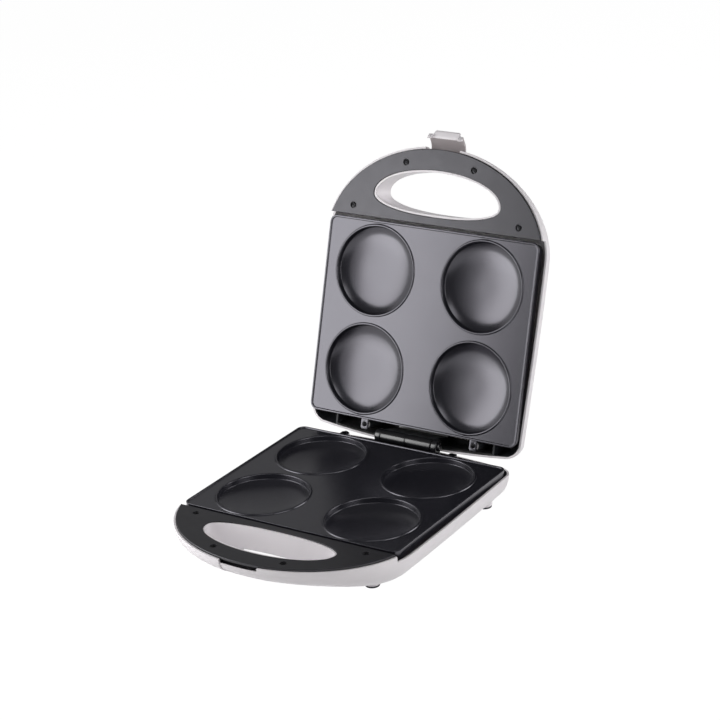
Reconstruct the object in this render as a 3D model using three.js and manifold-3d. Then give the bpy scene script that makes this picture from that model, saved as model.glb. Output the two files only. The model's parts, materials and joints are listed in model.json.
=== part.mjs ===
// Arepa maker: a countertop cooker whose two hinged halves each hold a plate with four round pockets.
// Millimetres, +Z up. Both halves are drawn alike: the hinge axis is X, the handle lies towards -Y and
// the plate faces up, with Z = 0 midway between the closed plates. The lid half is then turned over
// and opened on the hinge. A distance forward of the hinge axis, towards the handle, is a reach.

import * as THREE from 'three';
import { mergeVertices } from 'three/addons/utils/BufferGeometryUtils.js';
import Module from 'manifold-3d';

const wasm = await Module();
wasm.setup();

// Clearances, the overrun of every cut, and how near two corners lie that count as one
const gap = 0.3;
const overrun = 5;
const weldDistance = 0.0001;

// Opening of the lid and of its latch, in degrees
const openAngle = 108;
const latchAngle = 50;

// Plates
const plateWidth = 256.6;
const plateDepth = 213.2;
const plateSetback = 13.8;
const plateCorner = 8;
const lipClearance = 0.6;
const lipHeight = 1.2;
const lipWidth = 3;
const plateSkin = 2.4;
const skirtHeight = 11.6;
const skirtWall = 2.6;
const skirtDraft = 2;
const pocketGap = 6.4;
const pocketMargin = 3.4;
const pocketShift = 3.1;
const pocketDepth = 12;
const pocketSlope = 23;
const beadWidth = 3;
const beadHeight = 0.9;
const beadSlopeShare = 0.25;
const tabWidth = 9;
const tabLength = 11.5;
const tabThickness = 2;
const tabDrop = 2.2;
const tabShift = 10.05;
const lugWidth = 12;
const lugLength = 8;
const lugOffset = 60;

// Housings
const wall = 2.2;
const plateMargin = 5.5;
const rearTaper = 4.1;
const trayClearance = 12;
const handleDepth = 21;
const wallStraight = 8;
const handleStraight = 5;
const housingFillet = 30;
const rearFillet = 12;
const rearFilletPower = 6;
const handleFillet = 19;
const sideRimDrop = 8.6;
const handleRimDrop = 2.8;
const rearReach = 6;
const rearCornerLength = 13.2;
const rearCornerSetback = 0.5;
const rearBowPower = 2.2;
const ribInset = 31.7;
const ribThickness = 2;
const ribDrop = 10;
const ventWidth = 3.2;
const ventLength = 38;
const ventPitch = 9;
const ventCount = 4;
const ventShift = 9.6;

// Handle arch, its trim and the opening for the fingers
const archSetback = 21.2;
const trimLength = 104;
const trimDrop = 0.6;
const trimThickness = 2.6;
const trimBevel = 0.7;
const trimJointGap = 3.3;
const grip = { sideBand: 54.1, frontBand: 22, rearBand: 8, rear: 18.5, rearPower: 0.87, lipDrop: 1.5 };
const trimScrewOuter = { sideInset: 30.2, rearInset: 9.8 };
const trimScrewInner = { gripInset: 36.1, tipInset: 17.2 };

// Screws and their bosses
const screw = { head: 5.6, headHeight: 1.2, shank: 3, length: 12, headRoom: 0.7, recessDepth: 1.4 };
const tabScrew = { head: 5, headHeight: 1.7, shank: 2.8, length: 9 };
const trimBoss = 8;
const tabBoss = 11;

// Hinge
const barrelDiameter = 14.4;
const barrelLength = 31;
const barrelSplit = 1;
const barrelGroove = 0.8;
const knuckleLength = 6.5;
const knuckleGap = 0.6;
const pinDiameter = 5.6;
const pinHead = 9.6;
const pinHeadLength = 2.2;
const bracketWeb = 3.4;
const bracketWebReach = 7.2;
const bracketFoot = 2.6;
const bracketStand = 9.1;
const bracketFootLength = 13;
const bracketScrewInset = 7;
const bracketScrewLength = 5.2;

// Latch
const latchWidth = 41;
const latchThickness = 2.2;
const latchPivotRise = 6.5;
const latchPivotInset = 7.1;
const latchBarrel = 5.6;
const latchPin = 2.2;
const latchCheek = 8;
const latchBulge = 1.9;
const latchRoom = 1.2;
const latchHookWidth = 4.5;
const latchHookReach = 6;
const latchHookThickness = 1.8;
const latchHookClearance = 0.8;
const latchHookRound = 0.7;
const latchBend = 16.5;
const latchLipRise = 4.4;
const latchLipFlare = 2.6;
const catchRecess = 1.2;
const catchSide = 2;

// Feet
const footStand = 3.1;
const footInsetFront = 36.8;
const footAdvanceFront = 20.2;
const footInsetRear = 21.7;
const footAdvanceRear = 14;
const footDiameter = 17;
const footTaper = 1.5;
const padRim = 2;
const padHeight = 3;

// Heating
const elementTube = 6.6;
const elementInsetX = 2.7;
const elementInsetY = 1.2;
const elementCorner = 4;
const elementMouth = 30;
const clampWidth = 12;
const clampStrap = 1.4;
const clampBoss = 7;
const clampPitch = 20;
const elementClearance = 3.7;
const traySheet = 1;
const trayInset = 9;
const trayFlangeInset = 2.6;
const shieldSheet = 1;
const thermostat = { diameter: 17, height: 7, cap: 11, capHeight: 3 };
const fuse = { diameter: 5, length: 18, setback: 0.4 };
const terminal = { depth: 10, height: 11, advance: 0.8, bossClearance: 3.5, hingeClearance: 3.9 };
const terminalWay = { bore: 3.4, pitch: 8.6 };

// Mains inlet and wiring
const gland = { diameter: 10, taper: 1.2, length: 14, bore: 6.4 };
const glandFlange = { diameter: 14, thickness: 1.8, seat: 3.2, bossClearance: 0.5 };

// Indicator lamps
const lamp = { diameter: 9, dome: 1.6, setback: 9.8, offset: 13 };
const lampFlange = { diameter: 12, thickness: 1.4 };
const lampCrownShare = 0.6;
const lampCrownHeightShare = 0.8;

// Fineness of the round shapes
const roundSides = 12;
const bossSides = 8;
const holeSides = 8;
const screwSides = 6;
const barrelSides = 14;
const pocketSides = 24;
const dishSteps = 3;
const bowlSteps = 2;
const cornerSteps = 3;
const gripSteps = 26;
const trimSteps = 22;
const archSteps = 9;
const sideSteps = 3;
const rearSteps = 3;
const outerFilletSteps = 4;
const innerFilletSteps = 3;
const elementSteps = 30;
const elementSides = 6;
const clampSteps = 6;
const latchSteps = 6;

// Colour, roughness and metalness of each finish
const finish = {
  shell: { color: 0xe6e2e1, roughness: 0.42, metalness: 0 },
  trim: { color: 0x1b1b1d, roughness: 0.5, metalness: 0 },
  nonstick: { color: 0x26262b, roughness: 0.38, metalness: 0.25 },
  latch: { color: 0xc9c3c1, roughness: 0.4, metalness: 0 },
  hinge: { color: 0x141416, roughness: 0.28, metalness: 0.1 },
  screw: { color: 0x1a1a1c, roughness: 0.35, metalness: 0.8 },
  steel: { color: 0x8d8f93, roughness: 0.35, metalness: 0.9 },
  tray: { color: 0xa3a5a8, roughness: 0.45, metalness: 0.85 },
  shield: { color: 0x131315, roughness: 0.7, metalness: 0 },
  rubber: { color: 0x202124, roughness: 0.85, metalness: 0 },
  element: { color: 0x4b4a49, roughness: 0.6, metalness: 0.7 },
  ceramic: { color: 0xe9e4d8, roughness: 0.7, metalness: 0 },
  bakelite: { color: 0x3a2a22, roughness: 0.6, metalness: 0 },
  red: { color: 0xb4181c, roughness: 0.2, metalness: 0 },
  green: { color: 0x2f8f45, roughness: 0.2, metalness: 0 },
};

// Heights and reaches that several pieces share
const lipTop = -lipClearance / 2;
const plateTop = lipTop - lipHeight;
const plateUnder = plateTop - plateSkin;
const skirtBottom = lipTop - skirtHeight;
const plateMiddle = plateSetback + plateDepth / 2;
const plateFront = plateSetback + plateDepth;
const pocketDiameter = (plateDepth - pocketGap - 2 * pocketMargin) / 2;
const pocketRadius = pocketDiameter / 2;
const pocketPitchX = plateWidth / 2 + pocketShift;
const pocketPitchY = pocketDiameter + pocketGap;
const pocketUnder = plateTop - pocketDepth - plateSkin;
const elementWidth = pocketPitchX - 2 * elementInsetX;
const elementLength = pocketPitchY - 2 * elementInsetY;
const elementDrop = -pocketUnder + gap + elementTube / 2;
const clampReach = plateMiddle + elementLength / 2;
const trayDrop = elementDrop + elementTube / 2 + elementClearance;
const housingWidth = plateWidth + 2 * plateMargin;
const housingRearWidth = housingWidth - 2 * rearTaper;
const housingDepth = trayDrop + traySheet + trayClearance;
const rearCornerWidth = housingRearWidth - 2 * rearCornerLength;
const ribOffset = housingRearWidth / 2 - ribInset;
const shieldEnd = ribOffset - ribThickness / 2 - gap;
const bracketFootDrop = housingDepth - bracketStand;
const knuckleStart = barrelLength + knuckleGap;
const knuckleEnd = knuckleStart + knuckleLength;
const glandOffset = -(ribOffset - ribThickness / 2 - glandFlange.diameter / 2);
const glandDrop = sideRimDrop + glandFlange.diameter / 2;
const tabLeft = glandOffset + glandFlange.diameter / 2 + glandFlange.bossClearance + tabBoss / 2;
const tabRight = (ribOffset + knuckleEnd) / 2 - tabShift;
const archReach = plateFront - archSetback;
const archLength = trimLength + gap + wall;
const tipReach = archReach + archLength;
const trimTop = -trimDrop;
const trimBottom = trimTop - trimThickness;
const trimRear = plateFront + trimJointGap;
const trimTip = archReach + trimLength;
const trimWidth = housingWidth - 2 * wall;
const gripWidth = trimWidth - 2 * grip.sideBand;
const gripReach = trimRear + grip.rearBand + grip.rear;
const gripFront = trimTip - grip.frontBand - gripReach;
const latchPivotDrop = handleDepth - latchPivotRise;
const latchPivotReach = tipReach - latchPivotInset;
const latchPinLength = latchWidth + 2 * (gap + wall);
const catchWidth = latchWidth + 2 * catchSide;
const footDrop = housingDepth + footStand;
const padDiameter = footDiameter - 2 * padRim;
const lampReach = archReach - lamp.setback;

// Solids and meshes

function solid(geometry) {
  const bare = geometry.clone();
  bare.deleteAttribute('normal');
  bare.deleteAttribute('uv');
  const merged = mergeVertices(bare, weldDistance);
  const corners = merged.index.array;
  const triangles = [];
  for (let i = 0; i < corners.length; i += 3) {
    const [a, b, c] = corners.slice(i, i + 3);
    if (a !== b && b !== c && c !== a) triangles.push(a, b, c);
  }
  return new wasm.Manifold(new wasm.Mesh({
    numProp: 3,
    vertProperties: new Float32Array(merged.attributes.position.array),
    triVerts: new Uint32Array(triangles),
  }));
}

function joined(...solids) {
  return solids.reduce((whole, next) => whole.add(next));
}

function cut(body, ...tools) {
  return tools.reduce((whole, tool) => whole.subtract(tool), body);
}

function geometryOf(body) {
  const mesh = body.getMesh();
  const geometry = new THREE.BufferGeometry();
  geometry.setAttribute('position', new THREE.BufferAttribute(new Float32Array(mesh.vertProperties), 3));
  geometry.setIndex(new THREE.BufferAttribute(new Uint32Array(mesh.triVerts), 1));
  geometry.computeVertexNormals();
  return geometry;
}

function piece(name, shape, look) {
  const geometry = shape.isBufferGeometry ? shape : geometryOf(shape);
  const mesh = new THREE.Mesh(geometry, new THREE.MeshStandardMaterial(finish[look]));
  mesh.name = name;
  return mesh;
}

// A block between two corners
function block(xLow, xHigh, yLow, yHigh, zLow, zHigh) {
  const box = new THREE.BoxGeometry(xHigh - xLow, yHigh - yLow, zHigh - zLow);
  return box.translate((xLow + xHigh) / 2, (yLow + yHigh) / 2, (zLow + zHigh) / 2);
}

// A plan outline raised between two heights
function slab(outline, zLow, zHigh, holes = []) {
  const shape = new THREE.Shape(outline);
  holes.forEach((hole) => shape.holes.push(new THREE.Path(hole)));
  const raised = new THREE.ExtrudeGeometry(shape, { depth: zHigh - zLow, bevelEnabled: false });
  return raised.translate(0, 0, zLow);
}

// An outline drawn as (Y, Z) and drawn out along X
function across(outline, xLow, xHigh) {
  const shape = new THREE.Shape(outline.map(([y, z]) => new THREE.Vector2(y, z)));
  const drawn = new THREE.ExtrudeGeometry(shape, { depth: xHigh - xLow, bevelEnabled: false });
  const turn = new THREE.Matrix4().makeBasis(
    new THREE.Vector3(0, 1, 0), new THREE.Vector3(0, 0, 1), new THREE.Vector3(1, 0, 0));
  return drawn.applyMatrix4(turn).translate(xLow, 0, 0);
}

// An upright round post
function post(x, y, zLow, zHigh, diameter, sides = roundSides, lowDiameter = diameter) {
  const tube = new THREE.CylinderGeometry(diameter / 2, lowDiameter / 2, zHigh - zLow, sides);
  return tube.rotateX(Math.PI / 2).translate(x, y, (zLow + zHigh) / 2);
}

// A round bar along X
function bar(xLow, xHigh, y, z, diameter, sides = roundSides) {
  const tube = new THREE.CylinderGeometry(diameter / 2, diameter / 2, xHigh - xLow, sides);
  return tube.rotateZ(Math.PI / 2).translate((xLow + xHigh) / 2, y, z);
}

// A profile of (radius, height) turned about an upright axis
function turned(profile, x, y, sides = roundSides) {
  const points = profile.map(([radius, height]) => new THREE.Vector2(radius, height));
  return new THREE.LatheGeometry(points, sides).rotateX(Math.PI / 2).translate(x, y, 0);
}

// A flat strap of even thickness along a line of (Y, Z) points
function strap(line, thickness) {
  const inner = line.map(([y, z], i) => {
    const before = line[Math.max(i - 1, 0)];
    const after = line[Math.min(i + 1, line.length - 1)];
    const along = Math.hypot(after[0] - before[0], after[1] - before[1]);
    const normal = [-(after[1] - before[1]) / along, (after[0] - before[0]) / along];
    return [y + normal[0] * thickness, z + normal[1] * thickness];
  });
  return [...line, ...inner.reverse()];
}

// Outlines in plan

function roundedRectangle(width, depth, middle, corner) {
  const points = [];
  [[1, 1, 0], [-1, 1, 1], [-1, -1, 2], [1, -1, 3]].forEach(([sideX, sideY, quarter]) => {
    for (let i = 0; i <= cornerSteps; i += 1) {
      const angle = (quarter + i / cornerSteps) * (Math.PI / 2);
      points.push(new THREE.Vector2(
        sideX * (width / 2 - corner) + corner * Math.cos(angle),
        middle + sideY * (depth / 2 - corner) + corner * Math.sin(angle)));
    }
  });
  return points;
}

// The finger opening: half an ellipse towards the tip, flatter and squarer towards the plate
function gripOutline(inset) {
  const halfWidth = gripWidth / 2 - inset;
  return Array.from({ length: gripSteps }, (_, i) => {
    const angle = (i / gripSteps) * 2 * Math.PI;
    const forward = Math.sin(angle) < 0;
    const power = forward ? 1 : grip.rearPower;
    const length = (forward ? gripFront : grip.rear) - inset;
    const cosine = Math.cos(angle);
    const sine = Math.sin(angle);
    return new THREE.Vector2(
      halfWidth * Math.sign(cosine) * Math.abs(cosine) ** power,
      -gripReach + length * Math.sign(sine) * Math.abs(sine) ** power);
  });
}

// The arch of the trim, cut off straight beside the plate
function trimOutline(grow) {
  const rear = trimRear - grow;
  const halfWidth = trimWidth / 2 + grow;
  const length = trimLength + grow;
  const start = Math.asin((rear - archReach) / length);
  return Array.from({ length: trimSteps + 1 }, (_, i) => {
    const angle = start + (i / trimSteps) * (Math.PI - 2 * start);
    return new THREE.Vector2(-halfWidth * Math.cos(angle), -archReach - length * Math.sin(angle));
  });
}

// Housing: its outline runs from the middle of the rear, round the right side, to the tip

function housingSide() {
  const points = [];
  const cornerX = rearCornerWidth / 2;
  const rearX = housingRearWidth / 2;
  for (let i = 0; i <= rearSteps; i += 1) {
    const x = (cornerX * i) / rearSteps;
    points.push([x, rearAt(x)]);
  }
  for (let i = 0; i <= sideSteps; i += 1) {
    const share = i / sideSteps;
    const bow = Math.sin((share * Math.PI) / 2);
    points.push([
      rearX + (housingWidth / 2 - rearX) * bow,
      -plateSetback - (archReach - plateSetback) * share]);
  }
  for (let i = 1; i <= archSteps; i += 1) {
    const angle = (i / archSteps) * (Math.PI / 2);
    points.push([(housingWidth / 2) * Math.cos(angle), -archReach - archLength * Math.sin(angle)]);
  }
  return points;
}

const rightSide = housingSide();
const housingLoop = [...rightSide, ...rightSide.slice(1, -1).reverse().map(([x, y]) => [-x, y])];

// How far along the handle a point lies, from 0 at the arch's start to 1 at its tip
function handleShare(y) {
  return THREE.MathUtils.smoothstep(-y, archReach, tipReach);
}

function blend(body, handle, y) {
  return THREE.MathUtils.lerp(body, handle, handleShare(y));
}

// The bottom edge is rounded widely along the sides and more tightly at the handle and the rear wall
function filletAt(x, y) {
  const share = y > -plateSetback ? (Math.abs(x) / (rearCornerWidth / 2)) ** rearFilletPower : 1;
  return blend(THREE.MathUtils.lerp(rearFillet, housingFillet, share), handleFillet, y);
}

// How far the rear wall's outside lies behind the hinge axis
function rearAt(x) {
  const share = Math.abs(x) / (rearCornerWidth / 2);
  return rearReach - (rearReach + rearCornerSetback) * share ** rearBowPower;
}

// One ring of the housing's skin, at an angle round its bottom fillet, set in from the outside
function housingRing(angle, inset) {
  return housingLoop.map(([x, y], i) => {
    const before = housingLoop[(i + housingLoop.length - 1) % housingLoop.length];
    const after = housingLoop[(i + 1) % housingLoop.length];
    const along = Math.hypot(after[0] - before[0], after[1] - before[1]);
    const turn = inset + (filletAt(x, y) - inset) * (1 - Math.cos(angle));
    const atX = x + ((after[1] - before[1]) / along) * turn;
    const atY = y - ((after[0] - before[0]) / along) * turn;
    const straight = blend(wallStraight, handleStraight, atY);
    const deep = blend(housingDepth, handleDepth, atY) - inset;
    return new THREE.Vector3(atX, atY, -straight - (deep - straight) * Math.sin(angle));
  });
}

// A closed skin through rings of equally many points. Its ends are closed straight across from left
// to right, so that they may rise and fall along Y.
function loft(rings) {
  const count = rings[0].length;
  const triangles = [];
  const add = (a, b, c) => {
    if (a !== b && b !== c && c !== a) triangles.push(a, b, c);
  };
  for (let r = 1; r < rings.length; r += 1) {
    for (let i = 0; i < count; i += 1) {
      const next = (i + 1) % count;
      const upper = (r - 1) * count;
      const lower = r * count;
      add(upper + i, upper + next, lower + i);
      add(upper + next, lower + next, lower + i);
    }
  }
  const last = (rings.length - 1) * count;
  for (let i = 0; i < count / 2; i += 1) {
    const left = (count - i) % count;
    const nextLeft = count - i - 1;
    add(i, left, nextLeft);
    add(i, nextLeft, i + 1);
    add(last + i, last + i + 1, last + nextLeft);
    add(last + i, last + nextLeft, last + left);
  }
  const geometry = new THREE.BufferGeometry();
  const points = rings.flat().flatMap((point) => point.toArray());
  geometry.setAttribute('position', new THREE.Float32BufferAttribute(points, 3));
  geometry.setIndex(triangles);
  return geometry;
}

// A closed stack of equal rings of points, each level, with flat ends
function stack(rings) {
  const count = rings[0].length;
  const triangles = [];
  for (let r = 1; r < rings.length; r += 1) {
    for (let i = 0; i < count; i += 1) {
      const next = (i + 1) % count;
      const lower = (r - 1) * count;
      const upper = r * count;
      triangles.push(lower + i, lower + next, upper + next);
      triangles.push(lower + i, upper + next, upper + i);
    }
  }
  const last = (rings.length - 1) * count;
  for (let i = 1; i < count - 1; i += 1) {
    triangles.push(0, i + 1, i);
    triangles.push(last, last + i, last + i + 1);
  }
  const geometry = new THREE.BufferGeometry();
  const points = rings.flat().flatMap((point) => point.toArray());
  geometry.setAttribute('position', new THREE.Float32BufferAttribute(points, 3));
  geometry.setIndex(triangles);
  return geometry;
}

// The space inside the housing's skin, set in from its outside and closed at a given height
function housingBody(inset, top) {
  const steps = inset < wall ? outerFilletSteps : innerFilletSteps;
  const rings = [housingRing(0, inset).map((point) => new THREE.Vector3(point.x, point.y, top))];
  for (let i = 0; i <= steps; i += 1) {
    rings.push(housingRing((i / steps) * (Math.PI / 2), inset));
  }
  return loft(rings);
}

// Turns geometry of the lid half over and opens it on the hinge
const lidTurn = new THREE.Matrix4()
  .makeRotationX(-THREE.MathUtils.degToRad(openAngle))
  .multiply(new THREE.Matrix4().makeRotationY(Math.PI));

// Where the screws stand in plan
const screwPlaces = [
  [trimWidth / 2 - trimScrewOuter.sideInset, trimRear + trimScrewOuter.rearInset],
  [gripWidth / 2 - trimScrewInner.gripInset, trimTip - trimScrewInner.tipInset],
].flatMap(([offset, reach]) => [[offset, -reach], [-offset, -reach]]);
const tabPlaces = [tabLeft, tabRight].map((x) => [x, -plateSetback + tabLength / 2]);
const bracketScrewY = -bracketWebReach - bracketFootLength / 2;
const bracketScrewOffset = barrelLength - bracketScrewInset;
const bracketPlaces = [[bracketScrewOffset, bracketScrewY], [-bracketScrewOffset, bracketScrewY]];

// The undersides of the screwed tabs and of the hinge brackets' feet
const tabUnder = lipTop - tabDrop - tabThickness;
const bracketUnder = -bracketFootDrop - bracketFoot;

// What both housings share: the moulded tub, the finger opening, bosses and ribs
function housing(outside = []) {
  const floor = -housingDepth - overrun;
  const reachFar = tipReach + overrun;
  const half = housingWidth / 2 + overrun;
  const outer = solid(housingBody(0, -grip.lipDrop));
  const tub = cut(joined(outer, ...outside),
    solid(housingBody(wall, overrun)),
    solid(block(-half, half, -reachFar, rearReach + overrun, -handleRimDrop, overrun)),
    solid(block(-half, half, -trimRear + gap, rearReach + overrun, -sideRimDrop, overrun)));
  const ribs = [-ribOffset, ribOffset].map((x) => solid(
    block(x - ribThickness / 2, x + ribThickness / 2, -plateSetback + gap, rearReach, floor, -ribDrop)));
  const bosses = [
    ...screwPlaces.map(([x, y]) => solid(post(x, y, floor, trimBottom - gap, trimBoss, bossSides))),
    ...tabPlaces.map(([x, y]) => solid(post(x, y, floor, tabUnder - gap, tabBoss, bossSides))),
    ...bracketPlaces.map(([x, y]) => solid(post(x, y, floor, bracketUnder - gap, trimBoss, bossSides))),
  ];
  const tunnel = solid(slab(gripOutline(gap), floor, -grip.lipDrop));
  const inside = joined(tunnel, ...ribs, ...bosses).intersect(outer);
  const pilots = [
    ...screwPlaces.map(([x, y]) => [x, y, trimTop - screw.length - screw.recessDepth, screw.shank]),
    ...tabPlaces.map(([x, y]) => [x, y, tabUnder - tabScrew.length, tabScrew.shank]),
    ...bracketPlaces.map(([x, y]) => [x, y, bracketUnder - bracketFoot, tabScrew.shank]),
  ].map(([x, y, zLow, shank]) => solid(post(x, y, zLow - gap, overrun, shank + 2 * gap, holeSides)));
  return cut(joined(tub, inside), solid(slab(gripOutline(gap + wall), floor - overrun, overrun)), ...pilots);
}

// The ring of space that the trim takes up, with its clearance
function trimSpace() {
  return solid(slab(trimOutline(gap), trimBottom - gap, overrun, [gripOutline(0)]));
}

// Room for the latch at the tip: its recess runs with the housing's outside
function latchBand(width, zLow, zHigh) {
  return solid(block(
    -width / 2, width / 2, -tipReach - overrun, -latchPivotReach + latchBarrel, zLow, zHigh));
}

function baseHousing() {
  const floor = -housingDepth - overrun;
  const tip = -tipReach - overrun;
  const catchLow = trimBottom - latchHookClearance - latchHookThickness - latchHookClearance;
  const backFace = -(tipReach - latchHookReach - latchRoom);
  const half = catchWidth / 2;
  const back = solid(block(-half - wall, half + wall, backFace, backFace + wall, floor, trimBottom - gap))
    .intersect(solid(housingBody(0, 0)));
  const notch = solid(block(-half, half, tip, backFace, catchLow, overrun));
  const panel = cut(latchBand(catchWidth, floor, overrun), solid(housingBody(catchRecess, overrun)));
  const stubs = feetPlaces().map(([x, y]) => solid(post(x, y, -footDrop + padHeight / 2,
    -housingDepth + housingFillet / 2, footDiameter + footTaper, roundSides, footDiameter - footTaper)));
  const sockets = feetPlaces().map(([x, y]) => solid(
    post(x, y, -footDrop, -footDrop + padHeight + gap, padDiameter + 2 * gap)));
  const ventReach = plateMiddle + ventShift;
  const vents = Array.from({ length: ventCount }, (_, i) => {
    const x = (i - (ventCount - 1) / 2) * ventPitch;
    return solid(block(x - ventWidth / 2, x + ventWidth / 2,
      -ventReach - ventLength / 2, -ventReach + ventLength / 2, floor, -housingDepth + overrun));
  });
  const inlet = solid(new THREE.CylinderGeometry(gland.diameter / 2 + gap, gland.diameter / 2 + gap,
    gland.length + overrun, roundSides).translate(glandOffset, rearAt(glandOffset), -glandDrop));
  const lidPath = solid(housingBody(-gap, -sideRimDrop + gap).applyMatrix4(lidTurn));
  return cut(joined(housing(stubs), back),
    trimSpace(), notch, panel, ...sockets, ...vents, inlet, lidPath);
}

function lidHousing() {
  const recess = latchThickness + latchRoom;
  const floor = -housingDepth - overrun;
  const roomHalf = latchWidth / 2 + gap;
  const pinHalf = latchPinLength / 2 + gap;
  const aboutPivot = (half, diameter) => solid(bar(-half, half, -latchPivotReach, -latchPivotDrop, diameter));
  const room = cut(latchBand(2 * roomHalf, floor, overrun), solid(housingBody(recess, overrun)));
  const back = latchBand(2 * (roomHalf + wall), floor, overrun)
    .intersect(solid(housingBody(recess, -handleRimDrop)))
    .subtract(solid(housingBody(recess + wall, overrun)));
  const cheeks = aboutPivot(roomHalf + wall, latchCheek);
  const lamps = lampPlaces().map(([x, y]) => solid(
    post(x, y, floor, -housingDepth + overrun, lamp.diameter + 2 * gap)));
  return cut(joined(housing(), back, cheeks), room, trimSpace(),
    aboutPivot(roomHalf, latchBarrel + 2 * gap), aboutPivot(pinHalf, latchPin + 2 * gap), ...lamps);
}

function feetPlaces() {
  return [
    [housingRearWidth / 2 - footInsetRear, plateSetback + footAdvanceRear],
    [housingWidth / 2 - footInsetFront, archReach + footAdvanceFront],
  ].flatMap(([x, reach]) => [[x, -reach], [-x, -reach]]);
}

function lampPlaces() {
  return [[lamp.offset, -lampReach], [-lamp.offset, -lampReach]];
}

// One level ring of points round the plate's outline, set in from it
function plateRing(inset, z, corner = plateCorner) {
  return roundedRectangle(plateWidth - 2 * inset, plateDepth - 2 * inset, -plateMiddle, corner)
    .map((point) => new THREE.Vector3(point.x, point.y, z));
}

// A quarter of an ellipse from the middle of a pocket's floor outwards and up, as (radius, height)
function dishArc(flat, slope, depth, steps) {
  return Array.from({ length: steps + 1 }, (_, i) => {
    const angle = ((steps - i) / steps) * (Math.PI / 2);
    return [flat + Math.cos(angle) * slope, plateTop - Math.sin(angle) * depth];
  });
}

// Plate: a cast tray turned upside down, with a raised lip, four beaded pockets, rear tabs and front lugs
function plate() {
  const lipInner = lipWidth - lipHeight;
  const skirtInset = skirtDraft + skirtWall;
  const body = solid(stack([plateRing(skirtDraft, skirtBottom), plateRing(0, lipTop)]));
  const well = solid(stack([plateRing(lipWidth, plateTop), plateRing(lipInner, lipTop),
    plateRing(lipInner, lipTop + overrun)]));
  const hollow = solid(stack([
    plateRing(skirtInset, skirtBottom - overrun), plateRing(skirtInset, plateUnder)]));
  const beadInner = pocketRadius - beadWidth;
  const beadCrown = pocketRadius - beadWidth * beadSlopeShare;
  const beadRoot = plateTop - plateSkin / 2;
  const flat = beadInner - pocketSlope;
  const dish = [[0, plateTop - pocketDepth], ...dishArc(flat, pocketSlope, pocketDepth, dishSteps),
    [beadInner, overrun], [0, overrun]];
  const bowlSlope = pocketSlope + plateSkin;
  const bowl = [[0, pocketUnder], ...dishArc(flat, bowlSlope, pocketDepth + plateSkin, bowlSteps),
    [0, plateTop]];
  const bead = [[beadInner, beadRoot], [pocketRadius, beadRoot], [pocketRadius, plateTop],
    [beadCrown, plateTop + beadHeight], [beadInner, plateTop + beadHeight], [beadInner, beadRoot]];
  const pockets = [-1, 1].flatMap((sideX) => [-1, 1].map((sideY) => [
    (sideX * pocketPitchX) / 2, -plateMiddle + (sideY * pocketPitchY) / 2]));
  const put = (profile) => pockets.map(([x, y]) => solid(turned(profile, x, y, pocketSides)));
  const tabTop = lipTop - tabDrop;
  const tabs = tabPlaces.map(([x, y]) => cut(
    solid(block(x - tabWidth / 2, x + tabWidth / 2, -plateSetback - skirtWall / 2, y + tabLength / 2,
      tabTop - tabThickness, tabTop)),
    solid(post(x, y, tabTop - overrun, overrun, tabScrew.shank + 2 * gap, holeSides))));
  const lugTop = trimBottom - gap;
  const lugs = [-lugOffset, lugOffset].map((x) => solid(block(x - lugWidth / 2, x + lugWidth / 2,
    -plateFront - lugLength, -plateFront + skirtInset / 2, lugTop - tabThickness, lugTop)));
  const anchors = [-1, 1].map((side) => solid(post(0, -clampReach + (side * clampPitch) / 2,
    -elementDrop + gap, plateUnder + plateSkin / 2, clampBoss, holeSides)));
  const tray = cut(body, well, hollow);
  return cut(joined(tray, ...put(bowl), ...put(bead), ...tabs, ...lugs, ...anchors), ...put(dish));
}

function handleTrim() {
  const shape = new THREE.Shape(trimOutline(0));
  shape.holes.push(new THREE.Path(gripOutline(0)));
  const raised = new THREE.ExtrudeGeometry(shape, {
    depth: trimThickness - trimBevel, bevelEnabled: true, bevelThickness: trimBevel, bevelSize: trimBevel,
    bevelOffset: -trimBevel, bevelSegments: 1,
  }).translate(0, 0, trimBottom);
  const square = solid(slab(trimOutline(overrun), trimBottom, overrun));
  const recesses = screwPlaces.flatMap(([x, y]) => [
    solid(post(x, y, trimTop - screw.recessDepth, overrun, screw.head + 2 * screw.headRoom, roundSides)),
    solid(post(x, y, trimBottom - overrun, overrun, screw.shank + 2 * gap, holeSides))]);
  return cut(solid(raised).intersect(square), ...recesses);
}

// A pan-head screw whose head rests at a height
function screwAt(x, y, z, size) {
  const head = size.head / 2;
  const shank = size.shank / 2;
  return turned([[0, z - size.length], [shank, z - size.length], [shank, z], [head, z],
    [head, z + size.headHeight / 2], [0, z + size.headHeight]], x, y, screwSides);
}

// Hinge bracket: knuckles on the axis, a web down from them and a foot screwed to the housing
function bracket(knuckles, footWidth) {
  const radius = barrelDiameter / 2;
  const parts = knuckles.flatMap(([xLow, xHigh]) => [
    solid(bar(xLow, xHigh, 0, 0, barrelDiameter, barrelSides)),
    solid(block(xLow, xHigh, -bracketWebReach, -bracketWebReach + bracketWeb, bracketUnder, 0))]);
  const foot = solid(block(-footWidth / 2, footWidth / 2, -bracketWebReach - bracketFootLength,
    -bracketWebReach + bracketWeb, bracketUnder, -bracketFootDrop));
  const holes = bracketPlaces.map(([x, y]) => solid(
    post(x, y, bracketUnder - overrun, -bracketFootDrop + overrun, tabScrew.shank + 2 * gap, holeSides)));
  const bore = solid(bar(-footWidth, footWidth, 0, 0, pinDiameter + 2 * gap));
  const groove = cut(
    solid(block(-barrelSplit / 2, barrelSplit / 2, -radius - overrun, radius + overrun, 0, radius + overrun)),
    solid(bar(-barrelSplit, barrelSplit, 0, 0, barrelDiameter - 2 * barrelGroove, barrelSides)));
  return cut(joined(foot, ...parts), ...holes, bore, groove);
}

function lidBracket() {
  return bracket([[-barrelLength, barrelLength]], 2 * barrelLength);
}

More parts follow.
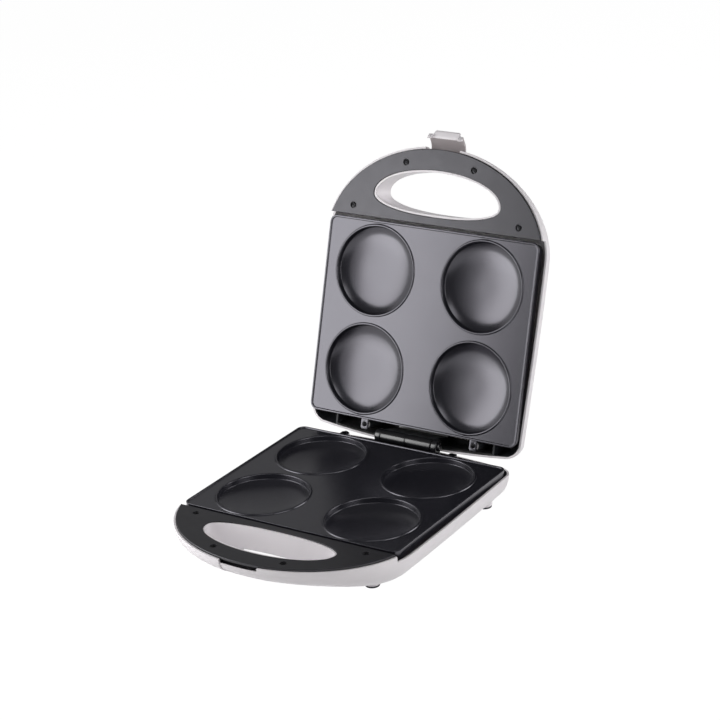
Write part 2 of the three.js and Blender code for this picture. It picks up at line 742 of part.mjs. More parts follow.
function baseBracket() {
  return bracket([[-knuckleEnd, -knuckleStart], [knuckleStart, knuckleEnd]], 2 * knuckleEnd);
}

function hingePin() {
  const reach = knuckleEnd + gap;
  return joined(
    solid(bar(-reach - pinHeadLength / 2, reach + pinHeadLength / 2, 0, 0, pinDiameter)),
    solid(bar(reach, reach + pinHeadLength, 0, 0, pinHead)),
    solid(bar(-reach - pinHeadLength, -reach, 0, 0, pinHead)));
}

// Latch, drawn closed about its own pin: a bowed plate, a hook at either side and a flared lip between
function latchClip() {
  const outside = tipReach - latchPivotReach;
  const span = latchPivotDrop - trimBottom + latchHookClearance + latchHookThickness;
  const hookLow = span - latchHookThickness;
  const half = latchWidth / 2;
  const lipHalf = half - latchHookWidth;
  const face = Array.from({ length: latchSteps + 1 }, (_, i) => {
    const share = i / latchSteps;
    const out = THREE.MathUtils.lerp(latchBarrel / 2, outside, Math.min(share * 2, 1));
    return [-out - latchBulge * share * (1 - share), latchBend * share];
  });
  const flareTip = [-outside - latchLipFlare, latchBend + latchLipRise];
  const plate = cut(
    solid(across(strap([...face, [-outside, span]], -latchThickness), -half, half)),
    solid(block(-lipHalf, lipHalf, -outside - overrun, -outside + overrun, latchBend, span + overrun)));
  const lip = solid(across(strap([...face, flareTip], -latchThickness), -lipHalf, lipHalf));
  const tip = -outside + latchHookReach;
  const hookLine = [[-outside, hookLow], [tip - latchHookRound, hookLow], [tip, hookLow + latchHookRound],
    [tip - latchHookThickness, span], [-outside, span]];
  const hooks = [[-half, -lipHalf], [lipHalf, half]].map((range) => solid(across(hookLine, ...range)));
  const barrel = solid(bar(-half, half, 0, 0, latchBarrel));
  const bore = solid(bar(-latchWidth, latchWidth, 0, 0, latchPin + 2 * gap));
  return cut(joined(plate, lip, barrel, ...hooks), bore);
}

// Heating element: a bent tube under the pockets, with two tails towards the hinge
class ElementPath extends THREE.Curve {
  constructor(z) {
    super();
    this.z = z;
  }

  getPoint(t, target = new THREE.Vector3()) {
    const mouth = elementMouth / elementWidth;
    const angle = Math.PI / 2 + mouth + t * (2 * Math.PI - 2 * mouth);
    const power = 2 / elementCorner;
    const cosine = Math.cos(angle);
    const sine = Math.sin(angle);
    return target.set(
      (elementWidth / 2) * Math.sign(cosine) * Math.abs(cosine) ** power,
      -plateMiddle + (elementLength / 2) * Math.sign(sine) * Math.abs(sine) ** power,
      this.z);
  }
}

function tube(path, diameter) {
  const section = new THREE.Shape(Array.from({ length: elementSides }, (_, i) => {
    const angle = (i / elementSides) * 2 * Math.PI;
    return new THREE.Vector2((diameter / 2) * Math.cos(angle), (diameter / 2) * Math.sin(angle));
  }));
  return new THREE.ExtrudeGeometry(section, { steps: elementSteps, extrudePath: path, bevelEnabled: false });
}

// Saddle that holds the element up against the plate
function elementClamp() {
  const radius = elementTube / 2 + gap;
  const arch = Array.from({ length: clampSteps + 1 }, (_, i) => {
    const angle = Math.PI + (i / clampSteps) * Math.PI;
    return [-clampReach + Math.cos(angle) * radius, -elementDrop + Math.sin(angle) * radius];
  });
  const ear = clampPitch / 2 + clampBoss / 2;
  const line = [[-clampReach - ear, -elementDrop], ...arch, [-clampReach + ear, -elementDrop]];
  return across(strap(line.reverse(), clampStrap), -clampWidth / 2, clampWidth / 2);
}

// Tray under the element, its rim under the plate's skirt
function reflector() {
  const rimTop = skirtBottom - gap;
  const foot = trayInset + skirtDraft;
  const neck = trayInset / 2;
  const body = joined(
    solid(stack([plateRing(trayFlangeInset, rimTop - traySheet), plateRing(trayFlangeInset, rimTop)])),
    solid(stack([plateRing(foot, -trayDrop - traySheet), plateRing(neck, rimTop)])));
  return cut(body, solid(stack([
    plateRing(foot + traySheet, -trayDrop), plateRing(neck + traySheet, rimTop),
    plateRing(neck + traySheet, rimTop + overrun)])));
}

// Dark shield that lines the channel between the plate and the rear wall, open round the hinge bracket
function shield(xLow, xHigh, bracketHalf) {
  const lined = cut(
    solid(housingBody(wall + gap, -sideRimDrop - shieldSheet)),
    solid(housingBody(wall + gap + shieldSheet, overrun)));
  const band = solid(block(xLow, xHigh, -plateSetback + gap, rearReach, -housingDepth, overrun));
  const bracketRoom = solid(block(-bracketHalf - gap, bracketHalf + gap, -plateSetback,
    -bracketWebReach + bracketWeb + gap, -housingDepth, overrun));
  const bossRoom = tabPlaces.map(([x, y]) => solid(
    post(x, y, -housingDepth, overrun, tabBoss + 2 * gap, bossSides)));
  return cut(lined.intersect(band), bracketRoom, ...bossRoom);
}

function thermostatDisc() {
  const top = plateUnder - gap;
  const shoulder = top - thermostat.height;
  const low = shoulder - thermostat.capHeight;
  const body = thermostat.diameter / 2;
  const cap = thermostat.cap / 2;
  return turned(
    [[0, low], [cap, low], [cap, shoulder], [body, shoulder], [body, top], [0, top]], 0, -plateMiddle);
}

function thermalFuse() {
  const radius = fuse.diameter / 2;
  const y = fuse.setback - plateMiddle;
  return bar(-fuse.length / 2, fuse.length / 2, y, plateUnder - gap - radius, fuse.diameter);
}

function terminalBlock() {
  const { depth, height } = terminal;
  const zLow = -housingDepth + wall + gap + shieldSheet + gap;
  const xLow = tabLeft + tabBoss / 2 + terminal.bossClearance;
  const width = -knuckleEnd - terminal.hingeClearance - xLow;
  const reach = plateSetback + terminal.advance;
  const body = solid(block(xLow, xLow + width, -reach - depth / 2, -reach + depth / 2, zLow, zLow + height));
  const bore = terminalWay.bore / 2;
  const wayCount = Math.max(Math.floor(width / terminalWay.pitch), 1);
  const bores = Array.from({ length: wayCount }, (_, i) => solid(
    new THREE.CylinderGeometry(bore, bore, depth + overrun, holeSides)
      .translate(xLow + ((i + 1 / 2) * width) / wayCount, -reach, zLow + height / 2)));
  return cut(body, ...bores);
}

// Bushing for the mains cord: a tapering sleeve outside the rear wall and a flange inside it
function cordGland() {
  const bore = gland.bore / 2;
  const outer = gland.diameter / 2;
  const flange = glandFlange.diameter / 2;
  const seat = -wall - glandFlange.seat;
  const inner = seat - glandFlange.thickness;
  const profile = [[bore, inner], [flange, inner], [flange, seat], [outer, seat], [outer, gland.length / 2],
    [outer - gland.taper, gland.length], [bore, gland.length], [bore, inner]];
  const points = profile.map(([radius, height]) => new THREE.Vector2(radius, height));
  return new THREE.LatheGeometry(points, roundSides);
}

// Lamp lens: a low dome outside the housing's skin, with a flange inside it
function lampLens(x, y) {
  const radius = lamp.diameter / 2;
  const crown = radius * lampCrownShare;
  const flange = lampFlange.diameter / 2;
  const seat = -housingDepth + wall + gap;
  const inner = seat + lampFlange.thickness;
  return turned([[0, -housingDepth - lamp.dome], [crown, -housingDepth - lamp.dome * lampCrownHeightShare],
    [radius, -housingDepth - gap], [radius, seat], [flange, seat], [flange, inner], [0, inner]], x, y);
}

// Nodes

const base = new THREE.Group();
const lidHalf = new THREE.Group();
lidHalf.rotation.y = Math.PI;
const lid = new THREE.Group();
lid.rotation.x = -THREE.MathUtils.degToRad(openAngle);
lid.add(lidHalf);

function placed(mesh, x, y, z) {
  mesh.position.set(x, y, z);
  return mesh;
}

const corners = [['rear', 'right'], ['rear', 'left'], ['front', 'right'], ['front', 'left']];
const turnedSide = { right: 'left', left: 'right' };

function addHalf(group, names) {
  group.add(piece(names.plate, plate(), 'nonstick'));
  group.add(piece(names.trim, handleTrim(), 'trim'));
  const element = tube(new ElementPath(-elementDrop), elementTube);
  group.add(piece(`${names.half}_heating_element`, element, 'element'));
  group.add(piece(`${names.half}_element_clamp`, elementClamp(), 'steel'));
  group.add(piece(`${names.half}_reflector`, reflector(), 'tray'));
  screwPlaces.forEach(([x, y], i) => {
    const [row, side] = corners[i];
    const seen = names.half === 'lid' ? turnedSide[side] : side;
    group.add(piece(
      `${names.half}_trim_screw_${row}_${seen}`, screwAt(x, y, trimTop - screw.recessDepth, screw), 'screw'));
  });
  tabPlaces.forEach(([x, y], i) => group.add(piece(`${names.half}_plate_screw_${i + 1}`,
    screwAt(x, y, lipTop - tabDrop, tabScrew), 'screw')));
  const bracketScrew = { ...tabScrew, length: bracketScrewLength };
  bracketPlaces.forEach(([x, y], i) => group.add(piece(
    `${names.half}_hinge_screw_${i + 1}`, screwAt(x, y, -bracketFootDrop, bracketScrew), 'screw')));
}

base.add(piece('base_housing', baseHousing(), 'shell'));
addHalf(base, { half: 'base', plate: 'lower_plate', trim: 'base_handle_trim' });
base.add(piece('base_hinge_bracket', baseBracket(), 'hinge'));
base.add(piece('hinge_pin', hingePin(), 'hinge'));
base.add(piece('base_rear_shield', shield(tabLeft + tabBoss / 2 + 2 * gap, shieldEnd, knuckleEnd), 'shield'));
base.add(piece('thermal_fuse', thermalFuse(), 'ceramic'));
base.add(piece('mains_terminal_block', terminalBlock(), 'ceramic'));
base.add(placed(piece('cord_gland', cordGland(), 'rubber'), glandOffset, rearAt(glandOffset), -glandDrop));
feetPlaces().forEach(([x, y], i) => {
  const [row, side] = corners[i];
  base.add(piece(
    `foot_pad_${row}_${side}`, post(x, y, -footDrop, -footDrop + padHeight, padDiameter), 'rubber'));
});

lidHalf.add(piece('lid_housing', lidHousing(), 'shell'));
addHalf(lidHalf, { half: 'lid', plate: 'upper_plate', trim: 'lid_handle_trim' });
lidHalf.add(piece('lid_hinge_bracket', lidBracket(), 'hinge'));
lidHalf.add(piece('lid_rear_shield', shield(-shieldEnd, shieldEnd, barrelLength), 'shield'));
lidHalf.add(piece('thermostat', thermostatDisc(), 'bakelite'));
lidHalf.add(piece('lid_terminal_block', terminalBlock(), 'ceramic'));
lidHalf.add(piece('latch_pin', bar(
  -latchPinLength / 2, latchPinLength / 2, -latchPivotReach, -latchPivotDrop, latchPin), 'steel'));
lampPlaces().forEach(([x, y], i) => {
  lidHalf.add(piece(`${['power', 'ready'][i]}_lamp_lens`, lampLens(x, y), ['red', 'green'][i]));
});

const latch = piece('latch_clip', latchClip(), 'latch');
latch.position.set(0, -latchPivotReach, -latchPivotDrop);
latch.rotation.x = THREE.MathUtils.degToRad(latchAngle);
lidHalf.add(latch);

const arepaMaker = new THREE.Group();
arepaMaker.add(base, lid);
arepaMaker.updateMatrixWorld(true);
const box = new THREE.Box3().setFromObject(arepaMaker, true);
arepaMaker.position.set(0, -(box.min.y + box.max.y) / 2, -box.min.z);

export default arepaMaker;
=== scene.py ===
"""Arepa maker with its lid open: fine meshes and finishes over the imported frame.

Sizes are in millimetres in the half frame of part.mjs: the hinge axis is X, the handle lies towards -Y
and the plate faces up, with Z = 0 midway between the closed plates. put() brings a piece to its place.
"""

import json
import math

import bmesh
import bpy
import numpy as np
from mathutils import Matrix, Vector
from mathutils.bvhtree import BVHTree


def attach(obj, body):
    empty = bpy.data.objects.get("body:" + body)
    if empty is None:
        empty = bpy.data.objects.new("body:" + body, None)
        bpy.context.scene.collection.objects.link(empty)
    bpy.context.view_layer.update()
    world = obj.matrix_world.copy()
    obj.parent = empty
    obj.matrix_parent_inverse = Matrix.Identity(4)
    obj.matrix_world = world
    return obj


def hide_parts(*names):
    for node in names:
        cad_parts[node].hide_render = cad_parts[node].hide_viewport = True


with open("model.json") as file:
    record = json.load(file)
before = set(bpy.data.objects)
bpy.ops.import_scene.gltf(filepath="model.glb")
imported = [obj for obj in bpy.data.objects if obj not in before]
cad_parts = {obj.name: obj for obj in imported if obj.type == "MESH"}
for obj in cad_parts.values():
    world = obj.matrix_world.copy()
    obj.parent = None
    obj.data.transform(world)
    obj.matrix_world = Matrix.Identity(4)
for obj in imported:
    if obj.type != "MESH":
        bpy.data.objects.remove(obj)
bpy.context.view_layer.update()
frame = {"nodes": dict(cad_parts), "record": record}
nodes = frame["nodes"]

# Sizes, as in part.mjs
GAP = 0.3
OVERRUN = 5
PLATE_WIDTH, PLATE_DEPTH, PLATE_SETBACK, PLATE_CORNER = 256.6, 213.2, 13.8, 8
LIP_TOP, PLATE_TOP, PLATE_UNDER, SKIRT_BOTTOM = -0.3, -1.5, -3.9, -11.9
SKIRT_DRAFT, SKIRT_WALL, PLATE_EDGE_BAND = 2, 2.6, 3.5
POCKET_RADIUS, PITCH_X, PITCH_Y, POCKET_DEPTH, POCKET_SLOPE = 50, 131.4, 106.4, 12, 23
BOWL_SHARE, BOWL_SLOPE, BOWL_POWER = 0.8, 13, 1.6
FOOT_SLOPE, WALL_FOOT, WALL_SLOPE = 32, 0.9, 86
BEAD_BAND, BEAD_WIDTH, BEAD_RISE = 3, 2.7, 1.15
TABS, TAB_WIDTH, TAB_LENGTH, TAB_DROP, TAB_THICKNESS, TAB_BOSS = (-77, 58), 9, 11.5, 2.2, 2, 5.5
WALL = 2.2
HOUSING_WIDTH, HOUSING_REAR_WIDTH, HOUSING_DEPTH, HANDLE_DEPTH = 267.6, 259.4, 39.5, 21
WALL_STRAIGHT, HANDLE_STRAIGHT = 8, 5
HOUSING_FILLET, REAR_FILLET, REAR_FILLET_POWER, HANDLE_FILLET = 30, 12, 6, 19
SIDE_RIM_DROP, HANDLE_RIM_DROP = 8.6, 2.8
REAR_REACH, REAR_CORNER_WIDTH, REAR_CORNER_SETBACK, REAR_BOW_POWER = 6, 233, 0.5, 2.2
REAR_STEPS, CORNER_STEPS, SIDE_STEPS, ARCH_STEPS, CORNER_PULL = 18, 8, 24, 64, 0.55
RIB_OFFSET, RIB_THICKNESS, RIB_DROP = 98, 2, 10
# Reaches of the painted shade on the housings' inner faces behind the plates
PAINTED_SHADE_REACH, PAINTED_SHADE_CORNER_REACH = 0.5, 8
ARCH_REACH, TRIM_WIDTH, TRIM_LENGTH = 205.8, 263.2, 104
TRIM_TOP, TRIM_BOTTOM, TRIM_EDGE = -0.6, -3.2, 0.6
TRIM_REAR = PLATE_SETBACK + PLATE_DEPTH + 3.3
ARCH_LENGTH = TRIM_LENGTH + GAP + WALL
TIP_REACH = ARCH_REACH + ARCH_LENGTH
GRIP_REACH, GRIP_WIDTH, GRIP_FRONT, GRIP_REAR, GRIP_POWER, GRIP_LIP_DROP = 256.8, 155, 31, 18.5, 0.87, 1.5
SCOOP_TOP, SCOOP_WIDTH, SCOOP_BACK_WIDTH, SCOOP_START, SCOOP_END = -27, 92, 130, -241, -213
SCREW_PLACES = [(101.4, -240.1), (-101.4, -240.1), (41.4, -292.6), (-41.4, -292.6)]
SCREW_RECESS, SCREW_RECESS_DEPTH, TRIM_HOLE, SCREW_HOLE = 7, 1.4, 1.8, 1.7
BARREL, BARREL_HALF, KNUCKLE_START, KNUCKLE_END = 14.4, 31, 31.6, 38.1
WEB_REACH, WEB, FOOT_TOP, FOOT_LOW, FOOT_LENGTH = 7.2, 3.4, -30.4, -33, 13
BARREL_EDGE, BARREL_GROOVE, BRACKET_BOSS = 1.0, 0.9, 4
PIN_HEAD, PIN_HEAD_LENGTH = 9.6, 2.2
LATCH_WIDTH, LATCH_THICKNESS, LATCH_DROP, LATCH_REACH, LATCH_BARREL = 41, 2.2, 14.5, 305.2, 5.6
LATCH_BULGE, LATCH_ROOM, LATCH_BEND, LATCH_LIP_RISE, LATCH_LIP_FLARE = 1.9, 1.2, 16.5, 4.8, 4.8
HOOK_WIDTH, HOOK_REACH, HOOK_THICKNESS, HOOK_CLEARANCE = 4.5, 6, 1.8, 0.8
LATCH_CHEEK, LATCH_PIN, LATCH_PIN_LENGTH = 8, 2.2, 46
CATCH_WIDTH, CATCH_RECESS = 45, 1.2
CATCH_LOW = TRIM_BOTTOM - 2 * HOOK_CLEARANCE - HOOK_THICKNESS
CATCH_BACK = HOOK_REACH + LATCH_ROOM - TIP_REACH
CATCH_WALL_LOW = CATCH_LOW - 3.4
FEET = [(108, -27.8), (-108, -27.8), (97, -226), (-97, -226)]
FOOT_DROP, FOOT_DIAMETER, FOOT_TAPER, PAD_DIAMETER, PAD_HEIGHT = 42.6, 17, 1.5, 13, 3
PAD_CAP, PAD_CAP_TOP = 7.4, 1.7 - FOOT_DROP
VENT_WIDTH, VENT_LENGTH, VENT_PITCH, VENT_COUNT, VENT_REACH = 3.2, 38, 9, 4, 130
GLAND_OFFSET, GLAND_DROP, GLAND_HOLE, GLAND_SIDES = -90, 15.6, 5.3, 40
LAMP_OFFSET, LAMP_REACH, LAMP_RADIUS = 13, 196, 4.5
OPEN_ANGLE, LATCH_ANGLE, HINGE_SETBACK = math.radians(108), math.radians(50), 99.252112

PLATE_MIDDLE = PLATE_SETBACK + PLATE_DEPTH / 2
TAB_TOP = LIP_TOP - TAB_DROP
TAB_Y = -PLATE_SETBACK + TAB_LENGTH / 2
BRACKET_SCREWS = [(24, -WEB_REACH - FOOT_LENGTH / 2), (-24, -WEB_REACH - FOOT_LENGTH / 2)]

# Where each body's half frame lies in the part's frame
HINGE = Vector((0, HINGE_SETBACK, FOOT_DROP))
BASE = Matrix.Translation(HINGE)
LID = BASE @ Matrix.Rotation(-OPEN_ANGLE, 4, "X") @ Matrix.Rotation(math.pi, 4, "Y")
LATCH = LID @ Matrix.Translation((0, -LATCH_REACH, -LATCH_DROP)) @ Matrix.Rotation(LATCH_ANGLE, 4, "X")
PLACES = {"base": BASE, "lid": LID, "latch": LATCH}


# Meshes

def mesh_of(points, faces):
    """A mesh of points and faces, with doubled points joined and its faces turned outwards."""
    mesh = bpy.data.meshes.new("work")
    mesh.from_pydata([tuple(map(float, p)) for p in points], [], faces)
    tidied = bmesh.new()
    tidied.from_mesh(mesh)
    bmesh.ops.remove_doubles(tidied, verts=tidied.verts, dist=1e-4)
    bmesh.ops.recalc_face_normals(tidied, faces=tidied.faces)
    tidied.to_mesh(mesh)
    tidied.free()
    return mesh


def quads(count, rings, start=0, looped=False):
    """Faces between rings of points that follow one another; looped, also from the last to the first."""
    faces = []
    for r in range(rings if looped else rings - 1):
        low, high = start + r * count, start + (r + 1) % rings * count
        for i in range(count):
            n = (i + 1) % count
            faces.append((low + i, low + n, high + n, high + i))
    return faces


def ringed(rings, looped=False):
    """Rings of equally many points, joined by quads. Its ends are closed flat, or it closes on itself."""
    count = len(rings[0])
    points = [p for ring in rings for p in ring]
    faces = quads(count, len(rings), looped=looped)
    if not looped:
        faces += [tuple(range(count)), tuple(range(len(points) - count, len(points)))]
    return mesh_of(points, faces)


def merged(*meshes):
    """Several meshes as one, each its own island."""
    whole = bmesh.new()
    for mesh in meshes:
        whole.from_mesh(mesh)
    result = bpy.data.meshes.new("work")
    whole.to_mesh(result)
    whole.free()
    return result


def linked(name, data):
    """An object for a mesh, lamp or camera, in the scene's collection."""
    obj = bpy.data.objects.new(name, data)
    bpy.context.scene.collection.objects.link(obj)
    return obj


def evaluated(obj):
    """A plain mesh of what an object's modifiers make."""
    depsgraph = bpy.context.evaluated_depsgraph_get()
    return bpy.data.meshes.new_from_object(obj.evaluated_get(depsgraph), depsgraph=depsgraph)


def carved(mesh, *steps):
    """The mesh after steps of ("UNION" | "DIFFERENCE" | "INTERSECT", tool mesh)."""
    work = linked("work", mesh)
    tools = []
    for kind, tool in steps:
        held = linked("tool", tool)
        tools.append(held)
        step = work.modifiers.new("cut", "BOOLEAN")
        step.operation = kind
        step.object = held
        step.solver = "MANIFOLD"
    result = evaluated(work)
    for held in [work, *tools]:
        bpy.data.objects.remove(held)
    return result


def union(*tools):
    """Steps for carved() that join meshes on."""
    return [("UNION", tool) for tool in tools]


def less(*tools):
    """Steps for carved() that cut meshes away."""
    return [("DIFFERENCE", tool) for tool in tools]


def modified(mesh, kind, **settings):
    """The mesh as one modifier makes it."""
    work = linked("work", mesh)
    step = work.modifiers.new("step", kind)
    for key, value in settings.items():
        setattr(step, key, value)
    result = evaluated(work)
    bpy.data.objects.remove(work)
    return result


def two_finishes(mesh, second, chosen):
    """Gives the chosen faces a second finish. The others get the finish that put() is given."""
    mesh.materials.clear()
    mesh.materials.append(None)
    mesh.materials.append(second)
    for face in mesh.polygons:
        face.material_index = int(chosen(face))
    return mesh


def put(name, mesh, body, finish, replaced=(), sharp=35, flats=True):
    """Brings a finished mesh from its half frame into the part's frame and gives it its finish and body.
    With flats, its normals follow the large faces, so that flats stay flat beside rounded edges."""
    mesh.transform(Matrix.Scale(0.001, 4) @ PLACES[body])
    if len(mesh.materials) > 1:
        mesh.materials[0] = finish
    else:
        mesh.materials.clear()
        mesh.materials.append(finish)
    mesh.shade_smooth()
    mesh.set_sharp_from_angle(angle=math.radians(sharp))
    if flats:
        mesh = modified(mesh, "WEIGHTED_NORMAL", keep_sharp=True)
    mesh.name = name
    obj = linked(name, mesh)
    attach(obj, body)
    if replaced:
        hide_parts(*replaced)
    return obj


def directions(line):
    """The direction of travel at each point of a closed outline."""
    along = np.roll(line, -1, axis=0) - np.roll(line, 1, axis=0)
    return along / np.linalg.norm(along, axis=1)[:, None]


def offset(outline, distance):
    """A closed plan outline moved outwards by a distance."""
    line = np.asarray(outline, float)
    along = directions(line)
    area = np.sum(line[:, 0] * np.roll(line[:, 1], -1) - np.roll(line[:, 0], -1) * line[:, 1])
    outwards = np.stack([along[:, 1], -along[:, 0]], 1) * np.sign(area)
    return line + outwards * distance


def at_height(outline, z):
    """A plan outline as points at one height."""
    return [(x, y, z) for x, y in outline]


def slab(outline, z_low, z_high, edge=0.0, steps=3):
    """An outline raised between two heights, with rounded edges; a negative edge flares them outwards."""
    if edge == 0:
        return ringed([at_height(outline, z_low), at_height(outline, z_high)])
    size = abs(edge)
    turns = [i / steps * math.pi / 2 for i in range(steps + 1)]
    if edge > 0:
        low = [(edge * (1 - math.sin(a)), z_low + size * (1 - math.cos(a))) for a in turns]
        high = [(edge * (1 - math.cos(a)), z_high - size * (1 - math.sin(a))) for a in turns]
        rings = [at_height(offset(outline, -inset), z) for inset, z in low + high]
    else:
        flare = [(size * (1 - math.cos(a)), z_high - size * (1 - math.sin(a))) for a in turns]
        rings = [at_height(outline, z_low)] + [at_height(offset(outline, out), z) for out, z in flare]
        rings.append(at_height(offset(outline, size), z_high + OVERRUN))
    return ringed(rings)


def rectangle(x_low, x_high, y_low, y_high, corner=0.0, steps=4):
    """A plan outline, with rounded corners where a corner radius is given."""
    if corner == 0:
        return [(x_low, y_low), (x_high, y_low), (x_high, y_high), (x_low, y_high)]
    line = []
    for x, y, start in ((x_high - corner, y_low + corner, -90), (x_high - corner, y_high - corner, 0),
                        (x_low + corner, y_high - corner, 90), (x_low + corner, y_low + corner, 180)):
        for i in range(steps + 1):
            a = math.radians(start + 90 * i / steps)
            line.append((x + corner * math.cos(a), y + corner * math.sin(a)))
    return line


def circle(x, y, radius, sides=40):
    return [(x + radius * math.cos(2 * math.pi * i / sides), y + radius * math.sin(2 * math.pi * i / sides))
            for i in range(sides)]


def block(x_low, x_high, y_low, y_high, z_low, z_high):
    """A plain box between its limits."""
    return slab(rectangle(x_low, x_high, y_low, y_high), z_low, z_high)


def turned(profile, place=Matrix(), sides=48):
    """A profile of (radius, height) turned about Z, its ends closed, and moved to its place."""
    rings = [[(r * math.cos(2 * math.pi * i / sides), r * math.sin(2 * math.pi * i / sides), z)
              for i in range(sides)] for r, z in profile]
    mesh = ringed(rings)
    mesh.transform(place)
    return mesh


def along_x(x=0, y=0, z=0):
    """Turns a piece made about Z so that it runs along X."""
    return Matrix.Translation((x, y, z)) @ Matrix.Rotation(math.pi / 2, 4, "Y")


def bar(x_low, x_high, y, z, diameter, edge=0.0, sides=48):
    """A round bar along X, with rounded ends where an edge is given."""
    radius = diameter / 2
    profile = [(radius, x_low), (radius, x_high)]
    if edge:
        turns = [i / 3 * math.pi / 2 for i in range(4)]
        start = [(radius - edge * (1 - math.sin(a)), x_low + edge * (1 - math.cos(a))) for a in turns]
        profile = start + [(r, x_low + x_high - x) for r, x in reversed(start)]
    return turned(profile, along_x(0, y, z), sides)


def across(outline, x_low, x_high):
    """An outline drawn as (Y, Z) and drawn out along X."""
    return ringed([[(x, y, z) for y, z in outline] for x in (x_low, x_high)])


# Housing

def rear_at(x):
    """How far back the bowed rear wall reaches at a distance from the middle."""
    share = abs(x) / (REAR_CORNER_WIDTH / 2)
    return REAR_REACH - (REAR_REACH + REAR_CORNER_SETBACK) * share ** REAR_BOW_POWER


def housing_loop():
    """The outline in plan: rear wall, rounded corner, bowed side and handle arch, then the left side."""
    half = []
    corner_x, rear_x = REAR_CORNER_WIDTH / 2, HOUSING_REAR_WIDTH / 2
    for i in range(REAR_STEPS + 1):
        x = corner_x * i / REAR_STEPS
        half.append((x, rear_at(x)))
    start, end = np.array(half[-1]), np.array((rear_x, -PLATE_SETBACK))
    turn = (start + end) / 2 * (1 - CORNER_PULL) + np.array((rear_x, rear_at(corner_x) - 1)) * CORNER_PULL
    for i in range(1, CORNER_STEPS):
        t = i / CORNER_STEPS
        half.append(tuple((1 - t) ** 2 * start + 2 * t * (1 - t) * turn + t * t * end))
    for i in range(SIDE_STEPS + 1):
        t = i / SIDE_STEPS
        half.append((rear_x + (HOUSING_WIDTH / 2 - rear_x) * math.sin(t * math.pi / 2),
                     -PLATE_SETBACK - (ARCH_REACH - PLATE_SETBACK) * t))
    for i in range(1, ARCH_STEPS + 1):
        a = i / ARCH_STEPS * math.pi / 2
        half.append((HOUSING_WIDTH / 2 * math.cos(a), -ARCH_REACH - ARCH_LENGTH * math.sin(a)))
    return np.array(half + [(-x, y) for x, y in reversed(half[1:-1])])


LOOP = housing_loop()
SIDE_START = REAR_STEPS + CORNER_STEPS


def handle_blend(body, handle, y):
    """Passes smoothly from the body's value to the handle's along the arch."""
    share = np.clip((-y - ARCH_REACH) / (TIP_REACH - ARCH_REACH), 0, 1)
    share = share * share * (3 - 2 * share)
    return body + (handle - body) * share


def housing_ring(angle, inset):
    """The outline moved in and down by an angle of its fillet, held at the side's line in the corners."""
    x, y = LOOP[:, 0], LOOP[:, 1]
    along = directions(LOOP)
    rear_share = np.minimum(np.abs(x) / (REAR_CORNER_WIDTH / 2), 1) ** REAR_FILLET_POWER
    share = np.where(y > -PLATE_SETBACK, rear_share, 1)
    fillet = handle_blend(REAR_FILLET + (HOUSING_FILLET - REAR_FILLET) * share, HANDLE_FILLET, y)
    turn = inset + (fillet - inset) * (1 - math.cos(angle))
    at_x = x + along[:, 1] * turn
    at_y = y - along[:, 0] * turn
    tip = len(LOOP) // 2
    at_x[:SIDE_START] = np.minimum(np.maximum.accumulate(at_x[:SIDE_START]), at_x[SIDE_START])
    at_x[1 - SIDE_START:] = -at_x[SIDE_START - 1:0:-1]
    at_y[:tip + 1] = np.minimum.accumulate(at_y[:tip + 1])
    at_y[tip + 1:] = at_y[tip - 1:0:-1]
    straight = handle_blend(WALL_STRAIGHT, HANDLE_STRAIGHT, at_y)
    deep = handle_blend(HOUSING_DEPTH, HANDLE_DEPTH, at_y) - inset
    return np.stack([at_x, at_y, -straight - (deep - straight) * math.sin(angle)], 1)


def housing_body(inset, top, steps=12):
    """The space inside the skin, set in from its outside and closed straight across from left to right."""
    first = housing_ring(0, inset)
    first[:, 2] = top
    rings = [first] + [housing_ring(i / steps * math.pi / 2, inset) for i in range(steps + 1)]
    count = len(LOOP)
    points = np.concatenate(rings)
    faces = quads(count, len(rings))
    last = (len(rings) - 1) * count
    for i in range(count // 2):
        left, next_left = (count - i) % count, count - i - 1
        for start in (0, last):
            corners = [start + i, start + left, start + next_left, start + i + 1]
            faces.append(tuple(dict.fromkeys(corners)))
    return mesh_of(points, [f for f in faces if len(set(f)) > 2])


def grip_outline(inset, steps=120):
    """The finger tunnel's outline, blunter towards the plate than towards the tip."""
    line = []
    for i in range(steps):
        a = i / steps * 2 * math.pi
        forward = math.sin(a) < 0
        power = 1 if forward else GRIP_POWER
        length = (GRIP_FRONT if forward else GRIP_REAR) - inset
        c, s = math.cos(a), math.sin(a)
        line.append(((GRIP_WIDTH / 2 - inset) * math.copysign(abs(c) ** power, c),
                     -GRIP_REACH + length * math.copysign(abs(s) ** power, s)))
    return line


def trim_outline(grow, steps=120):
    """The handle trim's outline: an arch with a straight rear edge."""
    rear = TRIM_REAR - grow
    start = math.asin((rear - ARCH_REACH) / (TRIM_LENGTH + grow))
    line = []
    for i in range(steps + 1):
        a = start + i / steps * (math.pi - 2 * start)
        line.append((-(TRIM_WIDTH / 2 + grow) * math.cos(a),
                     -ARCH_REACH - (TRIM_LENGTH + grow) * math.sin(a)))
    return line


def trim_space():
    """The room that the housing leaves for the handle trim."""
    return carved(slab(trim_outline(GAP), TRIM_BOTTOM - GAP, OVERRUN),
                  *less(slab(grip_outline(0), -2 * OVERRUN, 2 * OVERRUN)))


